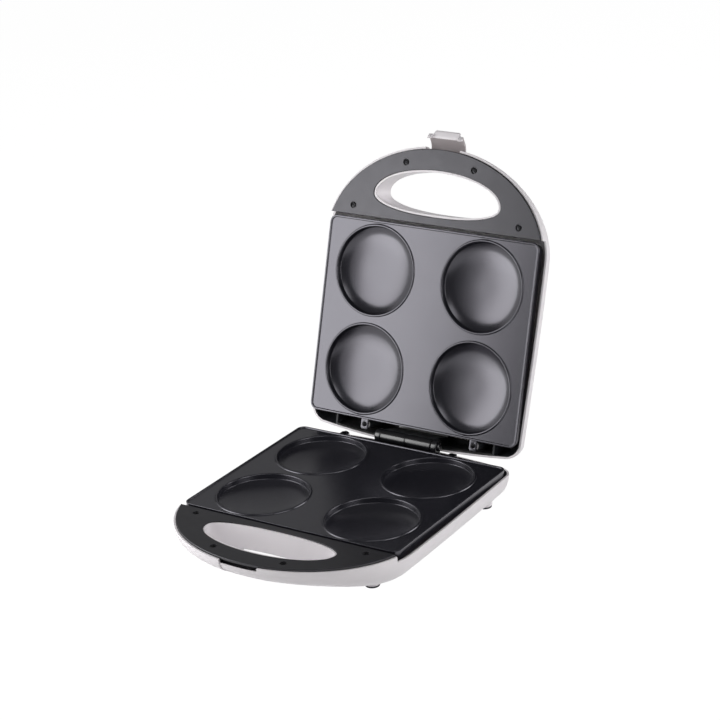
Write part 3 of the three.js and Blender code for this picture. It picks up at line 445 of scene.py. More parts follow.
def finger_scoop(skin):
    """The hollow under the handle that ends the tunnel's rear wall early, grown by a skin."""
    half, back_half, floor = SCOOP_WIDTH / 2 + skin, SCOOP_BACK_WIDTH / 2 + skin, -HOUSING_DEPTH - OVERRUN
    plan = [(-half, -GRIP_REACH), (half, -GRIP_REACH), (half, SCOOP_START), (back_half, SCOOP_END + skin),
            (-back_half, SCOOP_END + skin), (-half, SCOOP_START)]
    ceiling = [(-GRIP_REACH - OVERRUN, SCOOP_TOP + skin), (SCOOP_START + OVERRUN, SCOOP_TOP + skin),
               (SCOOP_END + OVERRUN + skin, floor + OVERRUN + skin), (SCOOP_END + OVERRUN + skin, 2 * floor),
               (-GRIP_REACH - OVERRUN, 2 * floor)]
    return carved(slab(plan, floor - OVERRUN, 0), ("INTERSECT", across(ceiling, -2 * half, 2 * half)))


def housing(outside=(), hollows=()):
    """The tub with its finger tunnel, ribs and tab bosses; hollows are pairs of a grown and a plain shape."""
    floor = -HOUSING_DEPTH - OVERRUN
    half, far = HOUSING_WIDTH / 2 + OVERRUN, TIP_REACH + OVERRUN
    tub = carved(
        housing_body(0, -GRIP_LIP_DROP), *union(*outside),
        *less(housing_body(WALL, OVERRUN),
              block(-half, half, -far, REAR_REACH + OVERRUN, -HANDLE_RIM_DROP, OVERRUN),
              block(-half, half, -TRIM_REAR + GAP, REAR_REACH + OVERRUN, -SIDE_RIM_DROP, OVERRUN)))
    ribs = [block(x - RIB_THICKNESS / 2, x + RIB_THICKNESS / 2, -PLATE_SETBACK + GAP, REAR_REACH,
                  floor, -RIB_DROP) for x in (-RIB_OFFSET, RIB_OFFSET)]
    bosses = [slab(circle(x, TAB_Y, TAB_BOSS), floor, TAB_TOP - TAB_THICKNESS - GAP) for x in TABS]
    bosses += [slab(circle(x, y, BRACKET_BOSS), floor, FOOT_LOW - GAP) for x, y in BRACKET_SCREWS]
    inside = carved(
        slab(grip_outline(GAP), floor, -GRIP_LIP_DROP),
        *union(*ribs, *bosses, *[grown for grown, _ in hollows]),
        ("INTERSECT", housing_body(0, -GRIP_LIP_DROP)))
    tunnel = slab(grip_outline(GAP + WALL), floor - OVERRUN, OVERRUN)
    return carved(tub, *union(inside), *less(tunnel, trim_space(), *[hollow for _, hollow in hollows]))


def with_painted_shade(mesh, painted_shade):
    """Paints shade on the housing's inside behind the plate, where it lies open beside the hinge: the inner
    faces there get a dark finish that stands in for the shade.
    """
    body = housing_body(0, 0)
    skin = BVHTree.FromPolygons([point.co for point in body.vertices],
                                [tuple(side.vertices) for side in body.polygons])

    def in_painted_shade(face):
        x, y, z = face.center
        beside = face.center + face.normal * PAINTED_SHADE_REACH
        spot, outward, _, _ = skin.find_nearest(beside)
        behind_plate = y > -PLATE_SETBACK - (PAINTED_SHADE_CORNER_REACH if abs(x) > RIB_OFFSET else 0)
        below_rim = -HOUSING_DEPTH + WALL / 2 < z < -SIDE_RIM_DROP - PAINTED_SHADE_REACH
        return (beside - spot).dot(outward) < 0 and behind_plate and below_rim

    return two_finishes(mesh, painted_shade, in_painted_shade)


GLAND_PLACE = (Matrix.Translation((GLAND_OFFSET, rear_at(GLAND_OFFSET), -GLAND_DROP))
               @ Matrix.Rotation(-math.pi / 2, 4, "X"))


def latch_band(width, z_low, z_high):
    """A box across the tip of the handle, where the latch lies."""
    return block(-width / 2, width / 2, -TIP_REACH - OVERRUN, -LATCH_REACH + LATCH_BARREL, z_low, z_high)


def base_housing():
    """The base, with its feet, vents, cord opening, catch for the latch and room for the lid to turn."""
    floor, tip = -HOUSING_DEPTH - OVERRUN, -TIP_REACH - OVERRUN
    half = CATCH_WIDTH / 2
    back = carved(block(-half - WALL, half + WALL, CATCH_BACK, CATCH_BACK + WALL,
                        floor, CATCH_WALL_LOW - GAP), ("INTERSECT", housing_body(0, 0)))
    panel = carved(latch_band(CATCH_WIDTH, floor, OVERRUN), *less(housing_body(CATCH_RECESS, OVERRUN)))
    low, high = (FOOT_DIAMETER - FOOT_TAPER) / 2, (FOOT_DIAMETER + FOOT_TAPER) / 2
    foot = [(low - 0.5, PAD_CAP_TOP + GAP), (low, PAD_CAP_TOP + GAP + 0.5),
            (high, -HOUSING_DEPTH + HOUSING_FILLET / 2)]
    stubs = [turned(foot, Matrix.Translation((x, y, 0))) for x, y in FEET]
    sockets = [slab(circle(x, y, PAD_DIAMETER / 2 + GAP), -FOOT_DROP - 1, -FOOT_DROP + PAD_HEIGHT + GAP)
               for x, y in FEET]
    vents = []
    for i in range(VENT_COUNT):
        x = (i - (VENT_COUNT - 1) / 2) * VENT_PITCH
        vents.append(slab(rectangle(x - VENT_WIDTH / 2, x + VENT_WIDTH / 2, -VENT_REACH - VENT_LENGTH / 2,
                                    -VENT_REACH + VENT_LENGTH / 2, VENT_WIDTH / 2 - 0.01, 8),
                          floor, -HOUSING_DEPTH + OVERRUN))
    inlet = turned([(GLAND_HOLE, -20), (GLAND_HOLE, 20)], GLAND_PLACE)
    lid_path = housing_body(-GAP, -SIDE_RIM_DROP + GAP)
    lid_path.transform(BASE.inverted() @ LID)
    mouth = block(-half, half, tip, CATCH_BACK, CATCH_LOW, OVERRUN)
    return carved(housing(stubs, [(finger_scoop(WALL), finger_scoop(0))]), *union(back),
                  *less(mouth, panel, *sockets, *vents, inlet, lid_path))


def lid_housing():
    """The lid, with its latch's room and pivot and its two lamp holes."""
    recess = LATCH_THICKNESS + LATCH_ROOM
    floor = -HOUSING_DEPTH - OVERRUN
    room_half = LATCH_WIDTH / 2 + GAP
    pin_half = LATCH_PIN_LENGTH / 2 + GAP

    def about_pivot(half, diameter):
        return bar(-half, half, -LATCH_REACH, -LATCH_DROP, diameter)

    room = carved(latch_band(2 * room_half, floor, OVERRUN), *less(housing_body(recess, OVERRUN)))
    back = carved(latch_band(2 * (room_half + WALL), floor, OVERRUN),
                  ("INTERSECT", housing_body(recess, -HANDLE_RIM_DROP)),
                  *less(housing_body(recess + WALL, OVERRUN)))
    lamps = [slab(circle(side * LAMP_OFFSET, -LAMP_REACH, LAMP_RADIUS + GAP), floor, -HOUSING_DEPTH + OVERRUN)
             for side in (-1, 1)]
    return carved(housing(), *union(back, about_pivot(room_half + WALL, LATCH_CHEEK)),
                  *less(room, trim_space(), about_pivot(room_half, LATCH_BARREL + 2 * GAP),
                        about_pivot(pin_half, LATCH_PIN + 2 * GAP), *lamps))


# Plates

def cell_angles(x_out, y_out, corner, steps=112, apart=0.02, corner_steps=5):
    """Directions from a pocket's middle: those of its cell's corners exactly, and even steps between."""
    cx, cy = PITCH_X / 2, PITCH_Y / 2
    special = [math.atan2(y - cy, x - cx) for x, y in ((0, 0), (0, y_out), (x_out, 0))]
    for i in range(corner_steps + 1):
        a = i / corner_steps * math.pi / 2
        special.append(math.atan2(y_out - corner + corner * math.sin(a) - cy,
                                  x_out - corner + corner * math.cos(a) - cx))
    even = [-math.pi + i / steps * 2 * math.pi for i in range(steps)]
    free = [a for a in even
            if min(abs((a - s + math.pi) % (2 * math.pi) - math.pi) for s in special) > apart]
    return sorted(special + free)


def cell_edge(angle, x_out, y_out, corner):
    """Where a ray from the pocket's middle meets its cell's edge, and the plate's outward direction there."""
    cx, cy = PITCH_X / 2, PITCH_Y / 2
    dx, dy = math.cos(angle), math.sin(angle)
    hits = []
    if abs(dx) > 1e-9:
        hits.append((((x_out if dx > 0 else 0) - cx) / dx, (1, 0) if dx > 0 else None))
    if abs(dy) > 1e-9:
        hits.append((((y_out if dy > 0 else 0) - cy) / dy, (0, 1) if dy > 0 else None))
    t, outward = min(hits, key=lambda hit: hit[0])
    x, y = cx + dx * t, cy + dy * t
    ox, oy = x_out - corner, y_out - corner
    if x > ox + 1e-6 and y > oy + 1e-6:
        b = (cx - ox) * dx + (cy - oy) * dy
        c = (cx - ox) ** 2 + (cy - oy) ** 2 - corner ** 2
        t = -b + math.sqrt(b * b - c)
        x, y = cx + dx * t, cy + dy * t
        outward = ((x - ox) / corner, (y - oy) / corner)
    if outward is None and abs(x - x_out) < 1e-6:
        outward = (1, 0)
    if outward is None and abs(y - y_out) < 1e-6:
        outward = (0, 1)
    return x, y, outward


def plate_sheet(profile, inset, z_flat):
    """One face of the plate: four pockets of a (radius, height) profile, each spread out to its cell's edge.
    Returns its points, its faces and the plate's edge as a loop of (x, y, outward x, outward y)."""
    x_out, y_out, corner = PLATE_WIDTH / 2 - inset, PLATE_DEPTH / 2 - inset, PLATE_CORNER - inset
    corner = max(corner, 2)
    angles = cell_angles(x_out, y_out, corner)
    edge = [cell_edge(a, x_out, y_out, corner) for a in angles]
    points, faces, loop = [], [], []
    count = len(angles)
    for sx, sy in ((1, 1), (-1, 1), (-1, -1), (1, -1)):
        start = len(points)
        points.append((sx * PITCH_X / 2, sy * PITCH_Y / 2, profile[0][1]))
        rings = []
        for radius, z in profile[1:]:
            rings.append([(PITCH_X / 2 + radius * math.cos(a), PITCH_Y / 2 + radius * math.sin(a), z)
                          for a in angles])
        rings.append([(x, y, z_flat) for x, y, _ in edge])
        for ring in rings:
            points.extend((sx * x, sy * y, z) for x, y, z in ring)
        for i in range(count):
            n = (i + 1) % count
            faces.append((start, start + 1 + i, start + 1 + n))
            for r in range(len(rings) - 1):
                a, b = start + 1 + r * count, start + 1 + (r + 1) * count
                faces.append((a + i, b + i, b + n, a + n))
        outer = [(x, y, *out) for x, y, out in edge if out is not None]
        first = max(range(len(outer)), key=lambda k: (outer[k][0] > x_out - 1e-6, -outer[k][1]))
        outer = outer[first:] + outer[:first]
        chain = [(sx * x, sy * y, sx * nx, sy * ny) for x, y, nx, ny in outer]
        if sx * sy < 0:
            chain.reverse()
        loop.extend(chain[:-1])
    return points, faces, loop


def edge_rings(loop, inset, profile):
    """Rings that follow the plate's edge: a profile of (inset, height)."""
    return [[(x + nx * (inset - at), y + ny * (inset - at), z) for x, y, nx, ny in loop] for at, z in profile]


def dish(radius, floor):
    """A pocket's profile: a shallow bowl, steeper towards its edge, and a rounded foot up to its wall."""
    slope, foot, wall = math.tan(math.radians(BOWL_SLOPE)), math.radians(FOOT_SLOPE), math.radians(WALL_SLOPE)
    reach = radius - WALL_FOOT
    bowl, ring = BOWL_SHARE * reach, (1 - BOWL_SHARE) * reach
    rise = slope * bowl / (BOWL_POWER + 1)
    line = []
    for i in range(1, 21):
        t = i / 20
        line.append((bowl * t, floor + rise * t ** (BOWL_POWER + 1)))
    for i in range(1, 7):
        t = i / 6
        line.append((reach - ring * (1 - t),
                     floor + rise + ring * (slope * t + (math.tan(foot) - slope) * t * t / 2)))
    start, height = line[-1]
    for i in range(1, 7):
        a = foot + (wall - foot) * i / 6
        line.append((start + WALL_FOOT * (math.sin(a) - math.sin(foot)),
                     height + WALL_FOOT * (math.cos(foot) - math.cos(a))))
    return line


def plate_tab(x):
    """A screw tab of the plate, which stands behind its rear wall."""
    tab = slab(rectangle(x - TAB_WIDTH / 2, x + TAB_WIDTH / 2, -PLATE_SETBACK - SKIRT_WALL / 2,
                         TAB_Y + TAB_LENGTH / 2, 2.2, 5), TAB_TOP - TAB_THICKNESS, TAB_TOP, 0.4)
    return carved(tab, *less(slab(circle(x, TAB_Y, SCREW_HOLE), -9, TAB_TOP, -0.3)))


def plate():
    """A cast plate with four pockets, its raised lip and skirt, and two screw tabs."""
    inner = POCKET_RADIUS - BEAD_BAND
    flat, floor, thick = inner - POCKET_SLOPE, PLATE_TOP - POCKET_DEPTH, PLATE_TOP - PLATE_UNDER
    turns = [i / 12 * math.pi for i in range(12, -1, -1)]
    bead = [(inner + BEAD_WIDTH / 2 * (1 + math.cos(a)) + 0.1, PLATE_TOP + BEAD_RISE * math.sin(a))
            for a in turns]
    top = [(0, floor), *dish(inner, floor), *bead[:-1],
           (bead[-1][0] + 0.15, PLATE_TOP), (bead[-1][0] + 0.6, PLATE_TOP)]
    points, faces, loop = plate_sheet(top, PLATE_EDGE_BAND, PLATE_TOP)
    rings = edge_rings(loop, PLATE_EDGE_BAND, [
        (PLATE_EDGE_BAND, PLATE_TOP), (2.7, PLATE_TOP), (2.4, PLATE_TOP + 0.06), (2.2, -1.25), (2.08, -0.95),
        (1.96, -0.62), (1.76, -0.4), (1.45, LIP_TOP), (1.0, LIP_TOP), (0.5, LIP_TOP), (0.2, -0.38),
        (0.03, -0.6), (0.02, -1.0), (0.4, -4), (1.0, -7), (SKIRT_DRAFT - 0.15, SKIRT_BOTTOM + 0.5),
        (SKIRT_DRAFT + 0.2, SKIRT_BOTTOM)])
    under = [(0, floor - thick), (flat, floor - thick)]
    for i in range(1, 7):
        a = i / 8 * math.pi / 2
        under.append((flat + math.sin(a) * (POCKET_SLOPE + thick),
                      PLATE_TOP - math.cos(a) * (POCKET_DEPTH + thick)))
    under.append((POCKET_RADIUS - 0.4, PLATE_UNDER))
    low_inset = SKIRT_DRAFT + SKIRT_WALL
    low_points, low_faces, low_loop = plate_sheet(under, low_inset, PLATE_UNDER)
    rings += edge_rings(low_loop, low_inset, [(low_inset, SKIRT_BOTTOM), (low_inset, PLATE_UNDER)])
    start = len(points)
    points += low_points
    faces += [tuple(start + i for i in face) for face in low_faces]
    faces += quads(len(loop), len(rings), len(points))
    for ring in rings:
        points.extend(ring)
    body = mesh_of([(x, y - PLATE_MIDDLE, z) for x, y, z in points], faces)
    return merged(body, *[plate_tab(x) for x in TABS])


def handle_trim(catch):
    """The flat trim round a handle, with its screw recesses; the base's has the catch wall."""
    body = slab(trim_outline(0), TRIM_BOTTOM, TRIM_TOP, TRIM_EDGE, 4)
    steps = less(slab(grip_outline(0), TRIM_BOTTOM - OVERRUN, TRIM_TOP, -0.45))
    if catch:
        half = CATCH_WIDTH / 2
        steps += union(block(-half, half, CATCH_BACK, CATCH_BACK + WALL, CATCH_WALL_LOW, TRIM_BOTTOM + 0.1))
    radius = SCREW_RECESS / 2
    for x, y in SCREW_PLACES:
        recess = turned(
            [(radius, TRIM_TOP - SCREW_RECESS_DEPTH), (radius, TRIM_TOP - 0.35),
             (radius + 0.1, TRIM_TOP - 0.12), (radius + 0.35, TRIM_TOP), (radius + 0.35, OVERRUN)],
            Matrix.Translation((x, y, 0)))
        steps += less(recess, slab(circle(x, y, TRIM_HOLE), TRIM_BOTTOM - 2, OVERRUN))
    return carved(body, *steps)


# Hinge and latch

def web(x_low, x_high):
    """The upright wall of a bracket, between its foot and the pin."""
    return slab(rectangle(x_low, x_high, -WEB_REACH, -WEB_REACH + WEB, 0.5, 3), FOOT_LOW, 0)


def bracket_holes():
    """The cuts for a bracket's two screws."""
    return less(*[slab(circle(x, y, SCREW_HOLE), -40, FOOT_TOP + 1) for x, y in BRACKET_SCREWS])


def bracket_foot(half):
    """The flat foot that a bracket is screwed down by."""
    return slab(rectangle(-half, half, -WEB_REACH - FOOT_LENGTH, -WEB_REACH + WEB, 1.5, 4),
                FOOT_LOW, FOOT_TOP, 0.4)


def lid_bracket(painted_shade):
    """The lid's hinge bracket; the web's face towards the plate gets the painted-shade finish, which stands
    in for the shade there and dulls its reflection.
    """
    radius = BARREL / 2
    half = [(radius - BARREL_GROOVE, 0), (radius - BARREL_GROOVE, 0.7), (radius - 0.35, 0.85),
            (radius - 0.08, 1.05), (radius, 1.4), (radius, BARREL_HALF - BARREL_EDGE),
            (radius - 0.18, BARREL_HALF - 0.2), (radius - BARREL_EDGE, BARREL_HALF), (4.2, BARREL_HALF)]
    profile = [(r, -x) for r, x in reversed(half)] + half[1:]
    barrel = turned(profile, along_x())
    bracket = carved(bracket_foot(BARREL_HALF), *union(web(-BARREL_HALF, BARREL_HALF), barrel),
                     *bracket_holes())
    # Painted shade: the web's face towards the plate, where shade falls, takes the dark finish
    return two_finishes(bracket, painted_shade, lambda face: face.normal.y < -0.9 and face.center.z < -radius / 2)


def base_bracket():
    """The bracket with the two outer knuckles, which holds the pin."""
    steps = []
    for low, high in ((-KNUCKLE_END, -KNUCKLE_START), (KNUCKLE_START, KNUCKLE_END)):
        steps += union(web(low, high), bar(low, high, 0, 0, BARREL, BARREL_EDGE))
    return carved(bracket_foot(KNUCKLE_END), *steps, *bracket_holes())


def hinge_pin():
    """A headed pin with a dimple in either end."""
    head, seat = PIN_HEAD / 2, KNUCKLE_END + GAP
    half = [(2.8, seat - 0.2), (head, seat - 0.01), (head, seat + 0.8), (head - 0.3, seat + 1.3),
            (head - 0.9, seat + 1.75), (head - 1.8, seat + 2.05), (2.1, seat + PIN_HEAD_LENGTH),
            (1.7, seat + PIN_HEAD_LENGTH), (1.4, seat + 1.5), (0.01, seat + 1.45)]
    return turned([(r, -x) for r, x in reversed(half)] + half, along_x())


def strap(line, thickness, thinned=0, tip=0.4):
    """A strap along a line of (Y, Z) points, of even thickness but for its last points, thinned to a tip."""
    inner = []
    for i, (y, z) in enumerate(line):
        late = max(i - (len(line) - 1 - thinned), 0) / max(thinned, 1)
        before, after = line[max(i - 1, 0)], line[min(i + 1, len(line) - 1)]
        length = math.hypot(after[0] - before[0], after[1] - before[1])
        deep = thickness * (1 - (1 - tip) * late)
        inner.append((y - (after[1] - before[1]) / length * deep, z + (after[0] - before[0]) / length * deep))
    return [*line, *reversed(inner)]


def latch_clip(painted_light_finish):
    """The latch: its lip and hooks get the paler shell finish as painted light, and its plate a darker grey
    as painted shade.
    """
    outside = TIP_REACH - LATCH_REACH
    span = LATCH_DROP - TRIM_BOTTOM + HOOK_CLEARANCE + HOOK_THICKNESS
    half = LATCH_WIDTH / 2
    lip_half = half - HOOK_WIDTH
    face = []
    for i in range(17):
        share = i / 16
        out = LATCH_BARREL / 2 + (outside - LATCH_BARREL / 2) * (1 - (1 - share) ** 3)
        face.append((-out - LATCH_BULGE * share * (1 - share), LATCH_BEND * share))
    flare = []
    for i in range(1, 9):
        t = i / 8
        flare.append((-outside - LATCH_LIP_FLARE * t ** 1.15, LATCH_BEND + LATCH_LIP_RISE * t))
    lip_end = slab(rectangle(-lip_half, lip_half, -LATCH_BARREL, LATCH_BEND + LATCH_LIP_RISE, 2.4, 6),
                   -LATCH_REACH, LATCH_REACH)
    lip_end.transform(Matrix.Rotation(math.pi / 2, 4, "X"))
    lip = carved(across(strap([*face, *flare], -LATCH_THICKNESS, len(flare)), -lip_half, lip_half),
                 ("INTERSECT", lip_end))
    plate_part = carved(
        across(strap([*face, (-outside, span)], -LATCH_THICKNESS), -half, half),
        *less(block(-lip_half, lip_half, -outside - OVERRUN, -outside + OVERRUN, LATCH_BEND, span + OVERRUN)))
    tip, top = -outside + HOOK_REACH, span - HOOK_THICKNESS
    hook = [(-outside, top), (tip - 0.7, top), (tip - 0.2, top + 0.2), (tip, top + 0.7),
            (tip - HOOK_THICKNESS, span), (-outside, span)]
    body = carved(
        plate_part,
        *union(lip, bar(-half, half, 0, 0, LATCH_BARREL), across(hook, -half, -lip_half),
               across(hook, lip_half, half)),
        *less(bar(-half - 2, half + 2, 0, 0, LATCH_PIN + 2 * GAP)))
    body = modified(body, "BEVEL", width=0.35, segments=3, limit_method="ANGLE", angle_limit=math.radians(35))
    # Faces above the bend, the lip and hooks, get the paler finish: painted light against the plate's painted
    # shade
    return two_finishes(body, painted_light_finish, lambda face: face.center.z > LATCH_BEND)


# Repeated pieces, made by node trees

def tree(name, inputs):
    """A Geometry Nodes tree with named inputs, and what its nodes need to be laid out."""
    group = bpy.data.node_groups.new(name, "GeometryNodeTree")
    group.interface.new_socket("Places", in_out="INPUT", socket_type="NodeSocketGeometry")
    sockets = {}
    for label, kind, value in inputs:
        socket = group.interface.new_socket(label, in_out="INPUT", socket_type=kind)
        if value is not None:
            socket.default_value = value
        sockets[label] = socket.identifier
    group.interface.new_socket("Geometry", in_out="OUTPUT", socket_type="NodeSocketGeometry")
    return group, sockets


def add(net, kind, inputs=None, **settings):
    """A new node with its settings. Its inputs, by name or number, are set to a value or linked."""
    node = net.nodes.new(kind)
    for key, value in settings.items():
        setattr(node, key, value)
    for key, value in (inputs or {}).items():
        if isinstance(value, bpy.types.NodeSocket):
            net.links.new(value, node.inputs[key])
        else:
            node.inputs[key].default_value = value
    return node


def placed_pieces(name, group, sockets, places, values, body, finish, replaced):
    """Runs a tree over a mesh of places, keeps the result as a plain mesh and puts it on its body."""
    spots = bpy.data.meshes.new("places")
    spots.from_pydata([tuple(p) for p in places], [], [])
    work = linked("work", spots)
    step = work.modifiers.new("pieces", "NODES")
    step.node_group = group
    for label, value in values.items():
        step[sockets[label]] = value
    step[sockets["Finish"]] = finish
    mesh = evaluated(work)
    work.modifiers.remove(step)
    bpy.data.objects.remove(work)
    return put(name, mesh, body, finish, replaced)


def screw_tree():
    """Pan-head screws: a domed head with a cross recess on a plain shank, each turned its own way."""
    group, sockets = tree("pan_head_screws", [
        ("Head Radius", "NodeSocketFloat", 2.8), ("Head Height", "NodeSocketFloat", 1.2),
        ("Shank Radius", "NodeSocketFloat", 1.5), ("Shank Length", "NodeSocketFloat", 10.0),
        ("Cross Length", "NodeSocketFloat", 3.4), ("Cross Width", "NodeSocketFloat", 0.75),
        ("Cross Depth", "NodeSocketFloat", 0.8), ("Seed", "NodeSocketInt", 4),
        ("Finish", "NodeSocketMaterial", None)])
    link = group.links.new
    given = add(group, "NodeGroupInput").outputs

    def times(a, b):
        return add(group, "ShaderNodeMath", {0: a, 1: b}, operation="MULTIPLY").outputs[0]

    def at(x, y, z):
        return add(group, "ShaderNodeCombineXYZ", {0: x, 1: y, 2: z}).outputs[0]

    def moved(piece, translation, **more):
        inputs = {"Geometry": piece.outputs["Mesh"], "Translation": translation, **more}
        return add(group, "GeometryNodeTransform", inputs).outputs[0]

    def cylinder(sides, radius, length):
        inputs = {"Vertices": sides, "Radius": radius, "Depth": length}
        return add(group, "GeometryNodeMeshCylinder", inputs, fill_type="NGON")

    radius, height = given["Head Radius"], given["Head Height"]
    drum = cylinder(40, radius, height)
    dome = add(group, "GeometryNodeMeshUVSphere", {"Segments": 40, "Rings": 20, "Radius": 1.0})
    wide = times(radius, 1.14)
    head = add(group, "GeometryNodeMeshBoolean", operation="INTERSECT", solver="FLOAT")
    link(moved(drum, at(0, 0, times(height, 0.5))), head.inputs["Mesh 2"])
    link(moved(dome, at(0, 0, 0), Scale=at(wide, wide, height)), head.inputs["Mesh 2"])
    cuts = add(group, "GeometryNodeMeshBoolean", {"Mesh 1": head.outputs["Mesh"]},
               operation="DIFFERENCE", solver="FLOAT")
    length, width, deep = given["Cross Length"], given["Cross Width"], times(given["Cross Depth"], 2.0)
    for x, y in ((length, width), (width, length)):
        arm = add(group, "GeometryNodeMeshCube", {"Size": at(x, y, deep)})
        link(moved(arm, at(0, 0, height)), cuts.inputs["Mesh 2"])
    shank = cylinder(24, given["Shank Radius"], given["Shank Length"])
    whole = add(group, "GeometryNodeJoinGeometry")
    link(moved(shank, at(0, 0, times(given["Shank Length"], -0.5))), whole.inputs[0])
    link(cuts.outputs["Mesh"], whole.inputs[0])
    turn = add(group, "FunctionNodeRandomValue", {3: math.pi, "Seed": given["Seed"]}, data_type="FLOAT")
    laid = add(group, "GeometryNodeInstanceOnPoints", {
        "Points": given["Places"], "Instance": whole.outputs[0], "Rotation": at(0, 0, turn.outputs[1])})
    real = add(group, "GeometryNodeRealizeInstances", {0: laid.outputs[0]})
    dressed = add(group, "GeometryNodeSetMaterial", {
        "Geometry": real.outputs[0], "Material": given["Finish"]})
    add(group, "NodeGroupOutput", {0: dressed.outputs[0]})
    return group, sockets


# Finishes

class Finish:
    """A material's shader with the patterns laid over it, all read from Object coordinates in metres."""

    def __init__(self, name, **values):
        self.material = bpy.data.materials.new(name)
        self.material.use_nodes = True
        self.tree = self.material.node_tree
        self.shader = self.tree.nodes["Principled BSDF"]
        for label, value in values.items():
            self.shader.inputs[label.replace("_", " ")].default_value = value
        self.place = self.add("ShaderNodeTexCoord").outputs["Object"]
        self.normal = None

    def add(self, kind, inputs=None, **settings):
        return add(self.tree, kind, inputs, **settings)

    def drive(self, label, socket):
        self.tree.links.new(socket, self.shader.inputs[label])

    def noise(self, size_mm, detail=3.0, roughness=0.5, stretch=None):
        place = self.place
        if stretch:
            place = self.add("ShaderNodeMapping", {"Scale": stretch, "Vector": place}).outputs[0]
        return self.add("ShaderNodeTexNoise", {"Scale": 1000 / size_mm, "Detail": detail,
                                               "Roughness": roughness, "Vector": place}).outputs["Fac"]

    def cells(self, size_mm):
        inputs = {"Scale": 1000 / size_mm, "Vector": self.place}
        return self.add("ShaderNodeTexVoronoi", inputs).outputs["Distance"]

    def colour(self, pattern, stops):
        """Lays a ramp of (position, colour) over a pattern."""
        node = self.add("ShaderNodeValToRGB", {"Fac": pattern})
        ramp = node.color_ramp
        while len(ramp.elements) < len(stops):
            ramp.elements.new(0.5)
        for element, (position, colour) in zip(ramp.elements, stops):
            element.position = position
            element.color = (*colour, 1)
        self.drive("Base Color", node.outputs["Color"])

    def rough(self, pattern, low, high):
        """Spreads the usual range of a pattern between two roughnesses."""
        inputs = {"From Min": 0.3, "From Max": 0.7, "To Min": low, "To Max": high, "Value": pattern}
        self.drive("Roughness", self.add("ShaderNodeMapRange", inputs).outputs["Result"])

    def soft_edges(self, radius_mm):
        node = self.add("ShaderNodeBevel", {"Radius": radius_mm / 1000}, samples=6)
        self.normal = node.outputs["Normal"]

    def bump(self, pattern, depth_mm, strength):
        inputs = {"Strength": strength, "Distance": depth_mm / 1000, "Height": pattern}
        if self.normal:
            inputs["Normal"] = self.normal
        self.normal = self.add("ShaderNodeBump", inputs).outputs["Normal"]

    def done(self):
        self.drive("Normal", self.normal)
        return self.material


def plain_finish(name, clouds, stops, wear, roughness, grain, relief, soft=0, **values):
    """A finish of three noises: clouds of colour, wear between two roughnesses, and a grain of some relief.
    Each noise is (size, detail), and its roughness and stretch if it is drawn out."""
    f = Finish(name, **values)
    f.colour(f.noise(*clouds), stops)
    f.rough(f.noise(*wear), *roughness)
    if soft:
        f.soft_edges(soft)
    f.bump(f.noise(*grain), *relief)
    return f.done()


def satin_trim():
    """Black moulded trim with an even spark-eroded grain."""
    f = Finish("satin_trim", IOR=1.5, Specular_IOR_Level=0.7, Specular_Tint=(0.945, 0.93, 1.0, 1))
    f.colour(f.noise(40, 3), [(0.3, (0.009, 0.009, 0.0105)), (0.7, (0.013, 0.013, 0.015))])
    f.rough(f.noise(9, 3), 0.34, 0.39)
    f.soft_edges(0.3)
    f.bump(f.cells(0.45), 0.012, 0.3)
    return f.done()


def nonstick_coat():
    """Sprayed dark coating over a casting: faint orange peel, fine speckle and soft clouding."""
    f = Finish("nonstick_coat", IOR=1.5, Specular_IOR_Level=1.0, Specular_Tint=(0.925, 0.905, 1.0, 1))
    speckle = f.noise(0.5, 2, 0.6)
    f.colour(speckle, [(0.42, (0.009, 0.009, 0.0125)), (0.66, (0.013, 0.013, 0.017)),
                       (0.80, (0.022, 0.022, 0.028))])
    f.rough(f.noise(22, 3), 0.245, 0.265)
    f.bump(f.noise(2.6, 2), 0.02, 0.1)
    f.bump(speckle, 0.012, 0.12)
    return f.done()


def lamp_lens(name, dark, light):
    """Clear coloured plastic, deeper towards its middle, with moulded facets behind the face."""
    f = Finish(name, IOR=1.49, Specular_IOR_Level=0.5, Coat_Weight=0.6, Coat_Roughness=0.05,
               Transmission_Weight=0.35)
    f.colour(f.cells(1.1), [(0.1, dark), (0.75, light)])
    f.rough(f.noise(1.5, 2), 0.1, 0.2)
    f.bump(f.cells(1.1), 0.05, 0.35)
    return f.done()


# Warm off-white ABS with a fine moulded grain and the faintest clouding
shell = plain_finish(
    "moulded_shell", (60, 2), [(0.3, (0.77, 0.736, 0.760)), (0.7, (0.805, 0.772, 0.795))],
    (9, 3), (0.36, 0.46), (0.6, 2), (0.012, 0.5), 0.45, IOR=1.5, Specular_IOR_Level=0.5)
# Painted shade: a nearly black finish for the housings' inside behind the plates, standing in for the shade
# that falls there
painted_shade = plain_finish(
    "painted_shade_dark", (12, 3), [(0.3, (0.016, 0.018, 0.021)), (0.7, (0.035, 0.038, 0.043))],
    (6, 3), (0.45, 0.6), (0.8, 2), (0.012, 0.4), IOR=1.5, Specular_IOR_Level=0.4)
trim = satin_trim()
coat = nonstick_coat()
hinge = plain_finish(
    "hinge_paint", (6, 3), [(0.35, (0.006, 0.006, 0.007)), (0.7, (0.010, 0.010, 0.012))],
    (5, 3), (0.2, 0.27), (1.6, 2), (0.008, 0.25), 0.25, IOR=1.5, Specular_IOR_Level=0.85)
screws = plain_finish(
    "blackened_screw", (1.2, 3), [(0.35, (0.02, 0.02, 0.022)), (0.7, (0.05, 0.05, 0.053))],
    (0.8, 3), (0.3, 0.45), (0.5, 2), (0.01, 0.4), Metallic=1.0)
rubber = plain_finish(
    "soft_rubber", (6, 3), [(0.3, (0.013, 0.013, 0.015)), (0.7, (0.028, 0.028, 0.031))],
    (2, 3), (0.62, 0.8), (0.7, 3), (0.03, 0.5), IOR=1.5, Specular_IOR_Level=0.4)
